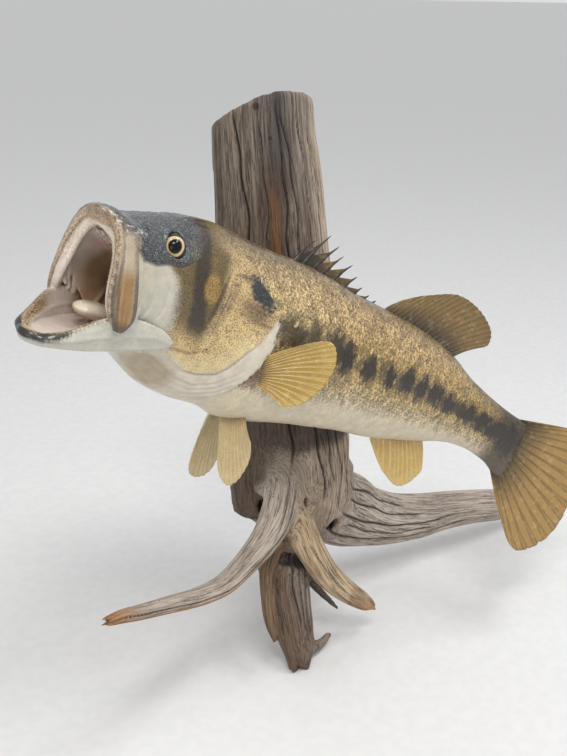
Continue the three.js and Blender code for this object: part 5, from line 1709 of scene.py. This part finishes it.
# driftwood, in millimetres of the model's frame: a log and its roots grown together
wood = {
    "log": [  # height, middle, half width, depth from the wall
        (-232, 26, 46, 56), (-214, 23, 58, 70), (-190, 22, 66, 77), (-160, 23, 70, 78), (-129, 24.5, 71, 76),
        (-90, 20.5, 69, 70), (-45, 14.5, 67, 66.5), (0, 8.5, 65, 65), (45, 4, 63, 63.5), (90, -1.5, 60, 62),
        (130, -4.5, 58, 59), (165, -8, 56.5, 55), (187, -10.5, 54.6, 52), (232, -13, 52.8, 49.5),
    ],
    "square": 2.17,  # how square the log is: 2 is round
    "top": (190.5, -0.08, -0.72),  # height of the sawn top and its slopes
    "grid": 2.5,
    "roots": {  # the middle line, then half width across and half thickness
        "root_right": [
            (26, -34, -172, 34, 30), (60, -34, -212, 40, 33), (92, -38, -234, 43, 31),
            (124, -43, -254, 36, 27), (160, -52, -269, 31.5, 23), (200, -63, -278, 29, 20),
            (245, -75, -283, 25, 17), (290, -87, -291, 22.5, 15), (330, -97, -301, 21, 13),
            (362, -105, -311, 16, 9), (384, -110, -319, 5, 3),
        ],
        "root_foot": [
            (0, -40, -190, 34, 26), (-14, -50, -222, 33, 24), (-26, -62, -254, 31, 21),
            (-31, -76, -284, 26, 19), (-34, -88, -308, 22, 16), (-37, -96, -326, 17.5, 13),
            (-41, -101, -339, 13, 9),
        ],
        "root_left": [
            (-12, -46, -128, 17, 14), (-30, -62, -150, 19, 15), (-50, -73, -171, 18.5, 16),
            (-74, -80, -184, 15.5, 13.5), (-104, -86, -193, 12.5, 11.5), (-136, -92, -197, 10.6, 10),
            (-170, -96, -191, 9, 8.6), (-204, -98, -181, 8, 7.4), (-236, -100, -171, 7.2, 6.4),
            (-252, -100, -166, 6.6, 5.6), (-266, -100, -164, 5, 4.4),
        ],
        "root_front": [
            (-12, -46, -146, 14, 12), (-17, -66, -176, 16, 13), (-18, -80, -200, 16, 14),
            (-13, -91, -222, 14.5, 13), (-3, -100, -245, 13.5, 12), (12, -108, -265, 12.5, 11),
            (30, -113, -283, 11, 9.6), (44, -116.5, -296, 8.6, 7), (53, -118, -304, 4.5, 4),
        ],
        "root_thin": [
            (-22, -52, -226, 8, 7), (-12, -60, -243, 7, 6.4), (4, -66, -268, 5.6, 5.2),
            (20, -71, -292, 4.4, 4), (36, -74, -313, 3.4, 3.2), (46, -75, -326, 2.2, 2),
        ],
        "prong": [
            (-40, -62, -206, 12, 10), (-58, -70, -228, 9, 8), (-66, -79, -252, 8, 7),
            (-68.5, -86, -274, 8, 6.5), (-68, -92, -294, 5, 4.5),
        ],
        "hook": [
            (-34, -96, -316, 7, 6), (-20, -99, -328, 6.5, 6), (-6, -100, -330, 5.2, 4.6),
            (4, -100, -325, 4, 3.4),
        ],
        "stub": [(-16, -62, -186, 6, 6), (-9, -75, -182, 5, 5), (-2, -82, -172, 3.4, 3)],
    },
    "merge": {
        "root_right": 30, "root_foot": 14, "root_left": 13, "root_front": 10, "root_thin": 5,
        "prong": 4, "hook": 6, "stub": 3,
    },
    "knots": [
        ((-47, -39, 213.5), 2.0), ((-60, -30, -150), 7.0), ((-44, -46, -150), 8.0), ((78, -50, -172), 9.0),
    ],
    "holes": [  # from, to, radius
        ((-46, -60, -172), (-28, -34, -180), 8.5), ((-50, -40, -196), (-30, -30, -200), 7),
        ((-12, -84, -171), (-8, -64, -166), 3.4), ((-36, -68, -226), (-6, -80, -240), 6.5),
        ((34, -84, -214), (44, -56, -222), 8), ((-66, -60, -128), (-60, -40, -128), 3),
        ((-40, -46, 229), (-34, -40, 225), 3.2),
    ],
    "tones": {  # weathered grain and its light ridges
        "log": (0x574d44, 0x998b7c), "root_right": (0x9b8d80, 0xd0c3b5), "root_foot": (0x544436, 0x85766a),
        "root_left": (0x9c8e80, 0xc6b9ab), "root_front": (0x9b8365, 0xcdb595),
        "root_thin": (0x453a31, 0x6f6256), "prong": (0x55412f, 0x83694f), "hook": (0x6b5b4c, 0x9a8a7b),
        "stub": (0x8b7a68, 0xcab9a4),
    },
    # the crack colour is painted shade in low places of the grain and also darkens its fibres; the hole
    # colour is painted shade in splits and holes
    "crack": 0x2a2019, "hole": 0x0d0907,
    "twist": {"root_right": 0.9, "root_left": 0.5, "root_front": 0.7},
    "splits": {  # long splits: width, depth, then places along the grain and degrees round
        "log": [
            (1.1, 3.4, (225, 152), (160, 147), (100, 144), (20, 142)),
            (0.9, 2.6, (226, 110), (163, 109), (98, 112), (40, 110)),
            (1.1, 3.0, (222, 108), (173, 101), (86, 100), (10, 97), (-60, 98)),
            (0.8, 2.2, (219, 72), (164, 67), (102, 71), (30, 70)),
            (0.6, 1.6, (214, 88), (150, 84), (80, 86)), (0.6, 1.5, (205, 128), (150, 127), (90, 129)),
            (1.2, 3.4, (-60, 104), (-120, 101), (-150, 98), (-178, 97)),
            (1.1, 3.2, (-50, 84), (-100, 80), (-160, 76), (-200, 78)),
            (1.3, 3.6, (-70, 60), (-120, 58), (-165, 66), (-205, 62)),
            (0.9, 2.6, (-110, 69), (-150, 70), (-190, 66)), (1.1, 3.0, (-60, 122), (-110, 124), (-150, 130)),
            (0.8, 2.0, (-90, 90), (-130, 90), (-160, 86)),
        ],
        "root_left": [
            (1.0, 3.0, (18, 92), (60, 96), (120, 98), (180, 92), (252, 84), (300, 80)),
            (0.6, 1.2, (30, 60), (70, 66), (95, 80)), (0.5, 0.9, (150, 50), (200, 58), (230, 60)),
        ],
        "root_front": [
            (0.6, 1.4, (70, 70), (120, 84), (165, 80)), (0.6, 1.3, (40, 110), (90, 116), (130, 112)),
        ],
        "root_right": [
            (1.2, 3.2, (20, 60), (90, 52), (180, 60), (300, 66)),
            (1.1, 2.8, (10, 88), (80, 86), (170, 92), (280, 96)),
            (1.0, 2.6, (30, 30), (120, 28), (240, 38)), (1.0, 2.6, (40, 108), (110, 112), (210, 116)),
            (0.8, 2.0, (60, 74), (150, 72), (230, 80)), (1.1, 2.6, (20, 124), (90, 132), (180, 138)),
        ],
        "root_foot": [
            (1.1, 3.0, (20, 70), (70, 74), (130, 80)), (1.0, 2.8, (10, 118), (70, 112), (140, 104)),
            (0.8, 2.0, (50, 92), (110, 92), (150, 96)),
        ],
    },
}


def woodRun(name):
    # the middle line of one root, closely stepped, with its sizes and directions
    rows = np.array(wood["roots"][name], float)
    steps = np.arange(len(rows))
    count = int(np.linalg.norm(np.diff(rows[:, :3], axis=0), axis=1).sum() / 2.5) + 2
    wanted = np.linspace(0, len(rows) - 1, count)
    x, y, z, half, thick = (smoothCurve(np.c_[steps, column])(wanted) for column in rows.T)
    centre = np.stack([x, y, z], 1)
    direction = unit(np.gradient(centre, axis=0))
    sideways = unit(np.cross(direction, [0, -1, 0]))
    out = np.cross(sideways, direction)
    run = np.r_[0, np.cumsum(np.linalg.norm(np.diff(centre, axis=0), axis=1))]
    return centre, half, thick, direction, sideways, out, run


def rootPlaces(name, points):
    # distance, angle and run of points beside one root
    centre, half, thick, direction, sideways, out, run = woodRuns[name]
    near = np.empty(len(points), int)
    for start in range(0, len(points), 20000):
        part = points[start:start + 20000]
        away = (part**2).sum(1)[:, None] + (centre**2).sum(1)[None] - 2 * part @ centre.T
        near[start:start + 20000] = away.argmin(1)
    gap = points - centre[near]
    u, v, ahead = ((gap * axis[near]).sum(1) for axis in (sideways, out, direction))
    size = np.sqrt((u / half[near]) ** 2 + (v / thick[near]) ** 2) + 1e-6
    away = np.hypot(u, v) * (1 - 1 / size)
    away = np.where(np.abs(ahead) > 1.6, np.maximum(away, np.abs(ahead) - 1.4), away)
    return away, np.arctan2(v / thick[near], u / half[near]), run[near] + ahead, run[-1]


def nearRoot(name, points, reach):
    # the points in a box round one root
    centre, half, *_ = woodRuns[name]
    reach = half.max() + reach
    return ((points > centre.min(0) - reach) & (points < centre.max(0) + reach)).all(1)


def logPlaces(points):
    x, y, z = points.T
    rows, power = np.array(wood["log"], float), wood["square"]
    middle, half, depth = (smoothCurve(rows[:, [0, k]])(z) for k in (1, 2, 3))
    size = ((np.abs(x - middle) / half) ** power + (np.abs(y) / depth) ** power) ** (1 / power) + 1e-6
    away = np.hypot(x - middle, y) * (1 - 1 / size)
    return away, np.arctan2(-y / depth, (x - middle) / half), z


def segmentDistance(points, start, end):
    start, end = np.array(start, float), np.array(end, float)
    line = end - start
    share = np.clip(((points - start) @ line) / (line @ line), 0, 1)
    return np.linalg.norm(points - start - share[:, None] * line, axis=1)


def logField(points):
    # distance to the log, with its sawn top and ragged lower end
    away = logPlaces(points)[0]
    x, y, z = points.T
    level, slopeX, slopeY = wood["top"]
    top = z - level - slopeX * x - slopeY * y - 1.2 * ripple(x, y, z * 0, 13, 0.6)
    away = softMax(away, top / math.sqrt(1 + slopeX**2 + slopeY**2), 5.0)
    ragged = 9 * ripple(x, y, 0 * z, 17, 2.2) + 5 * ripple(x, y, 0 * z, 6.5, 1.2)
    return softMax(away, -226 + ragged + 26 * ease(x, 0, -44) - z, 4.0)


def shapeWood():
    low, high = cadBox[0] / mm, cadBox[1] / mm
    ends = ((-280, 392), (-128, 0), (low[2], high[2] + 2))
    axes = [np.arange(a - 4, b + 8, wood["grid"]) for a, b in ends]
    grid = np.stack(np.meshgrid(*axes, indexing="ij"), -1)
    points = grid.reshape(-1, 3)
    field = np.full(len(points), 60.0)
    onLog = (points[:, 0] > -80) & (points[:, 0] < 130) & (points[:, 1] > -100)
    field[onLog] = logField(points[onLog])
    for name, merge in wood["merge"].items():
        inside = nearRoot(name, points, merge + 6)
        field[inside] = softMin(field[inside], rootPlaces(name, points[inside])[0], merge)
    for at, radius in wood["knots"]:
        inside = np.abs(points - at).max(1) < radius + 12
        field[inside] = softMin(field[inside], np.linalg.norm(points[inside] - at, axis=1) - radius, 7)
    for start, end, radius in wood["holes"]:
        inside = np.abs(points - (np.array(start) + end) / 2).max(1) < radius + 26
        carve = segmentDistance(points[inside], start, end) - radius + 1.2 * ripple(*points[inside].T, 5, 1.7)
        field[inside] = softMax(field[inside], -carve, 3)
    field = softMax(field, points[:, 1] + 0.2, 2.0)  # the flat back
    field = softMax(field, low[2] + 0.6 - points[:, 2], 2.0)
    surface, faces = largestPart(*netSurface(field.reshape(grid.shape[:3]), axes))
    surface, faces = splitQuads(relax(surface, faces, 3), faces)
    return relax(surface, faces, 2), faces


def splitQuads(points, faces):
    # every quad becomes four
    ends = np.sort(np.stack([faces, np.roll(faces, -1, 1)], 2).reshape(-1, 2), 1)
    single, back = np.unique(ends[:, 0].astype(np.int64) * len(points) + ends[:, 1], return_inverse=True)
    middles = (points[single // len(points)] + points[single % len(points)]) / 2
    edge = back.reshape(-1, 4) + len(points)
    centre = np.arange(len(faces)) + len(points) + len(middles)
    quads = np.stack([faces, edge, np.repeat(centre[:, None], 4, 1), np.roll(edge, 1, 1)], 2).reshape(-1, 4)
    return np.vstack([points, middles, points[faces].mean(1)]), quads


def grainRelief(name, angle, raw, run, size, seed):
    # ridges and splits that run with the grain: height in millimetres and how dark, the darkness being
    # painted shade in the splits
    maker = np.random.default_rng(seed)
    x, z = np.cos(angle) * size, np.sin(angle) * size
    lean = run * 0.03
    scale = min(1.0, 0.35 + size / 60)
    height = 0.8 * ripple(x, lean, z, 11, seed) + 0.55 * ripple(x, lean * 1.4, z, 4.2, seed + 1.0)
    height = scale * (height + 0.34 * ripple(x, lean * 1.9, z, 1.9, seed + 2.0))
    dark = np.zeros(angle.shape)
    lines = [(width, depth, line) for width, depth, *line in wood["splits"].get(name, [])]
    for _ in range(int(12 + size / 1.6)):
        at, middle = maker.uniform(0, 360), maker.uniform(run.min(), run.max())
        long = maker.uniform(0.4, 1.0) * max(size * 1.3, 18)
        line = [(middle - long, at), (middle, at + 2), (middle + long, at)]
        lines.append((maker.uniform(0.3, 0.6), maker.uniform(0.6, 1.5), line))
    for width, depth, line in lines:
        line = np.array(sorted(line), float)
        target = np.radians(np.interp(run, line[:, 0], line[:, 1]) + 1.2 * np.sin(run / 9 + line[0, 1]))
        gap = np.angle(np.exp(1j * (raw - target))) * size
        share = (run - line[0, 0]) / (line[-1, 0] - line[0, 0])
        cut = groove(gap, width * 0.8) * (ease(share, 0, 0.12) * ease(share, 1, 0.88))
        height = height - cut * depth * scale
        dark = np.maximum(dark, cut * min(1.0, 0.35 + depth / 2.4))
    return height, dark


def woodMaterial():
    finish = Finish("driftwood")
    place = finish.read("grain", "Vector")
    dark, rise = finish.read("dark"), finish.read("rise")
    tone, light = finish.read("tone", "Vector"), finish.read("light", "Vector")
    fibre = finish.noise(place, 1.0, 4.0, 0.75, (0.7, 0.03, 0.7))
    streak = finish.noise(place, 1.0, 5.0, 0.7, (0.36, 0.01, 0.36))
    blotch = finish.noise(place, 0.03)
    fine = finish.noise(place, 1.0, 3.0, 0.75, (1.1, 0.06, 1.1))
    crack = colourOf(wood["crack"])
    colour = finish.mix(finish.ramp(streak, 0.36, 0.64), tone, light)
    colour = finish.mix(finish.ramp(blotch, 0.45, 0.75, 0.0, 0.45), colour, tone)
    # painted shade: low places of the grain darker
    colour = finish.mix(finish.ramp(rise, -1.5, 0.3, 0.45, 0.0), colour, crack)
    colour = finish.mix(finish.ramp(fibre, 0.48, 0.6, 0.0, 0.74), colour, crack)
    colour = finish.mix(finish.ramp(fine, 0.5, 0.62, 0.0, 0.6), colour, light)
    # painted shade: near black in the splits and holes, and a dark ring round the small knot
    colour = finish.mix(finish.times(dark, 0.93), colour, colourOf(wood["hole"]))
    height = finish.maths("ADD", fibre, finish.times(fine, 0.6))
    return finish.give(
        Base_Color=colour, Roughness=finish.ramp(fine, 0.3, 0.7, 0.74, 0.93),
        Normal=finish.bump(height, 1.0, 0.0011),
    )


def woodStains(points, normals, weights):
    # colour and share of every stain, in the order in which they are laid; two are painted shade: the fish's
    # shadow across the log and the darker left side of the log
    x, y, z = points.T
    log = weights["log"] * ease(y, -2, -14)
    left, front, foot = (weights[name] for name in ("root_left", "root_front", "root_foot"))
    broad, fine = ripple(x, y, z * 0.3, 14, 0.9), ripple(x, y, z * 0.1, 4.5, 1.9)
    leftOf = -46 + 0.05 * (z - 100)
    # painted shadow of the fish across the front of the log, faded on faces turned to +x
    shade = ease(z + 3 * broad, -122, -106) * ease(z, 20, -40) * ease(normals[:, 0], 0.85, 0.4)
    under = ease(normals[:, 2] + 0.15 * fine, 0.0, -0.5) * ease(x, -60, -130)
    rust = log * groove(x + 36 + 0.06 * (z - 120) + 2.5 * fine, 3.6)
    return [
        (0xb7a591, log * ease(x, -4, 30) * ease(z, 30, 80) * 0.75),
        (0x322e30, log * groove(x + 30 + 4 * fine, 15) * ease(z, 110, 150) * 0.8),
        (0x453024, log * groove(x + 34 + 5 * fine, 13) * ease(z, 190, 130) * ease(z, 0, 40) * 0.8),
        (0x85582c, rust * ease(z, 158, 118) * ease(z, 20, 50) * 0.62),
        (0x5c3d28, log * groove(x + 2 + 7 * fine, 7) * ease(z, 150, 110) * ease(z, 0, 30) * 0.5),
        (0x6b4a2e, log * groove(x + 55 + 3 * fine, 6) * ease(z, 130, 80) * 0.5),
        # painted shade: the log's left side next to the wall darker
        (0x2b231d, log * ease(x, leftOf - 8, leftOf - 14) * ease(y, -16, -6) * 0.9),
        # painted shadow of the fish on the log
        (0x362820, log * shade * 0.8),
        (0xab9987, log * ease(z + 3 * broad, -112, -124) * ease(x, -38, -22) * 0.85),
        (0x4a382a, log * ease(x, -24, -40) * ease(z, -100, -122) * 0.85),
        (0x9a6a38, left * np.maximum(under, ease(x, -225, -262)) * 0.8),
        (0x6a4630, front * ease(broad, 0.0, 0.6) * ease(z, -215, -240) * 0.5),
        (0x9a6b41, front * ease(z, -280, -300) * 0.6),
        (0x8c8279, foot * groove(x + 22 + 0.3 * (z + 260), 9) * ease(z, -225, -250) * 0.7),
        (0x5a4330, foot * ease(x, -34, -46) * 0.6),
    ]


def buildWood():
    points, faces = shapeWood()
    normals = cornerNormals(points, faces)
    names = ["log", *wood["roots"]]
    weights, rises, darks = np.zeros((3, len(names), len(points)))
    grains, tips = np.zeros((2, len(names), len(points), 3))
    for number, name in enumerate(names):
        if name == "log":
            near = points[:, 2] > -250
            away, angle, run = logPlaces(points[near])
            raw, size = angle, 62.0
        else:
            near = nearRoot(name, points, 12)
            away, raw, run, length = rootPlaces(name, points[near])
            size = float(woodRuns[name][1].mean())
            angle = raw + wood["twist"].get(name, 0.3) * run / length
            split = ease(run, length - 12, length) * min(size * 0.22, 2.5)
            ends = split * (np.sin(3 * raw + number) + 0.7 * np.sin(7 * raw))
            tips[number, near] = woodRuns[name][3][-1] * ends[:, None]
        rises[number, near], darks[number, near] = grainRelief(name, angle, raw, run, size, 2 + 3 * number)
        weights[number, near] = np.exp(-np.maximum(away, -20) / 4.5)
        grains[number, near] = np.stack([np.cos(angle) * size, run, np.sin(angle) * size], 1)
    weights /= weights.sum(0)
    rise, dark = (weights * rises).sum(0), (weights * darks).sum(0)
    grain, tip = (sum(w[:, None] * g for w, g in zip(weights, part)) for part in (grains, tips))
    tones = [[linearColour(code) for code in wood["tones"][name]] for name in names]
    tone, light = (sum(w[:, None] * pair[k] for w, pair in zip(weights, tones)) for k in (0, 1))
    for code, share in woodStains(points, normals, dict(zip(names, weights))):
        share = np.clip(share, 0, 1)[:, None]
        tone = tone + (linearColour(code) - tone) * share
        light = light + (linearColour(code) * 1.45 - light) * share  # a little lighter on the ridges
    # painted shade inside the carved holes
    for start, end, radius in wood["holes"]:
        gap = segmentDistance(points, start, end)
        dark = np.maximum(dark, ease(gap, radius * 1.15, radius * 0.75) * 0.8)
    x, y, z = points.T
    dark = np.maximum(dark, groove(np.linalg.norm(points - wood["knots"][0][0], axis=1) - 2.7, 1.0) * 0.9)
    # painted shade: a dark dot for a nail hole that is not carved
    dark = np.maximum(dark, ease(np.hypot(x + 37, z - 187) + (y > -20) * 9, 2.4, 1.0) * 0.8)  # a nail hole
    calm = ease(y, -0.5, -5)
    log = weights[0] * ease(y, -2, -14)
    end = ease(normals[:, 2], 0.75, 0.45) * log + (1 - log)
    points = points + normals * (rise * calm * end)[:, None] + tip
    points[:, 1] = np.minimum(points[:, 1], 0)
    points[:, 2] = np.maximum(points[:, 2], cadBox[0][2] / mm)
    piece = makeMesh("driftwood", points * mm, faces, woodMaterial())
    paintValues(piece, grain=grain, dark=dark * calm, rise=rise, tone=tone, light=light)
    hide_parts("log", *(name for name in wood["roots"] if name.startswith("root")))
    print("driftwood", len(faces), "faces")


woodRuns = {name: woodRun(name) for name in wood["roots"]}
print("driftwood")
buildWood()


# floor, light and camera
stage = {
    "floor": 400.0, "tone": 0xdcdcdb, "speck": 0xd8d8d8, "world": (0.9, 0.905, 0.915), "worldStrength": 0.81,
    "lights": [  # name, place, target, size, power, tone
        ("key", (-0.75, -0.95, 1.5), (0, -0.05, 0), (0.7, 0.3), 13.8, (1.0, 0.97, 0.93)),
        ("over", (0.55, -0.8, 1.6), (0.05, -0.05, 0), (1.0, 0.3), 15, (0.98, 0.99, 1.0)),
        ("fill", (-1.6, -0.7, 0.3), (0, -0.05, 0), (0.9, 0.9), 4, (1.0, 0.98, 0.95)),
    ],
}
view = {
    "place": (-0.600, -0.61959, 0.300), "lens": 36 * 919 / 756, "yaw": 45.56, "pitch": 22.61, "roll": 0.93,
}


def buildFloor():
    reach, steps = stage["floor"] / 2, 40
    grid = np.linspace(-reach, reach, steps)
    x, y = np.meshgrid(grid, grid, indexing="ij")
    points = np.stack([x, y, np.full(x.shape, cadBox[0][2] - 0.0004)], -1).reshape(-1, 3)
    finish = Finish("paleFloor")
    soft = finish.noise(finish.node("TexCoord", "Object"), 90.0, 2.0, 0.5)
    colour = finish.mix(finish.ramp(soft, 0.3, 0.7), colourOf(stage["tone"]), colourOf(stage["speck"]))
    material = finish.give(Base_Color=colour, Roughness=0.7)
    return makeMesh("floor", points, gridFaces(steps, steps)[1], material, False)


def softLight(name, place, target, size, power, tone):
    lamp = bpy.data.lights.new(name, "AREA")
    lamp.shape = "RECTANGLE"
    lamp.size, lamp.size_y = size
    lamp.energy = power
    lamp.color = tone
    item = bpy.data.objects.new(name, lamp)
    scene.collection.objects.link(item)
    item.location = place
    item.rotation_euler = (Vector(target) - Vector(place)).to_track_quat("-Z", "Y").to_euler()


def buildCamera():
    yaw, pitch, roll = (math.radians(view[k]) for k in ("yaw", "pitch", "roll"))
    ahead = Vector((math.sin(yaw) * math.cos(pitch), math.cos(yaw) * math.cos(pitch), -math.sin(pitch)))
    level = Vector((math.cos(yaw), -math.sin(yaw), 0))
    right = math.cos(roll) * level + math.sin(roll) * level.cross(ahead)
    up = -math.sin(roll) * level + math.cos(roll) * level.cross(ahead)
    camera = bpy.data.objects.new("camera", bpy.data.cameras.new("camera"))
    scene.collection.objects.link(camera)
    camera.data.sensor_width = 36
    camera.data.lens = view["lens"]
    camera.data.clip_start = 0.01
    turn = Matrix((right, up, -ahead)).transposed().to_4x4()
    camera.matrix_world = Matrix.Translation(view["place"]) @ turn
    scene.camera = camera


buildFloor()
scene.world = bpy.data.worlds.new("studio")
scene.world.use_nodes = True
background = scene.world.node_tree.nodes["Background"]
background.inputs["Color"].default_value = (*stage["world"], 1)
background.inputs["Strength"].default_value = stage["worldStrength"]
for light in stage["lights"]:
    softLight(*light)
buildCamera()
print("finishing")
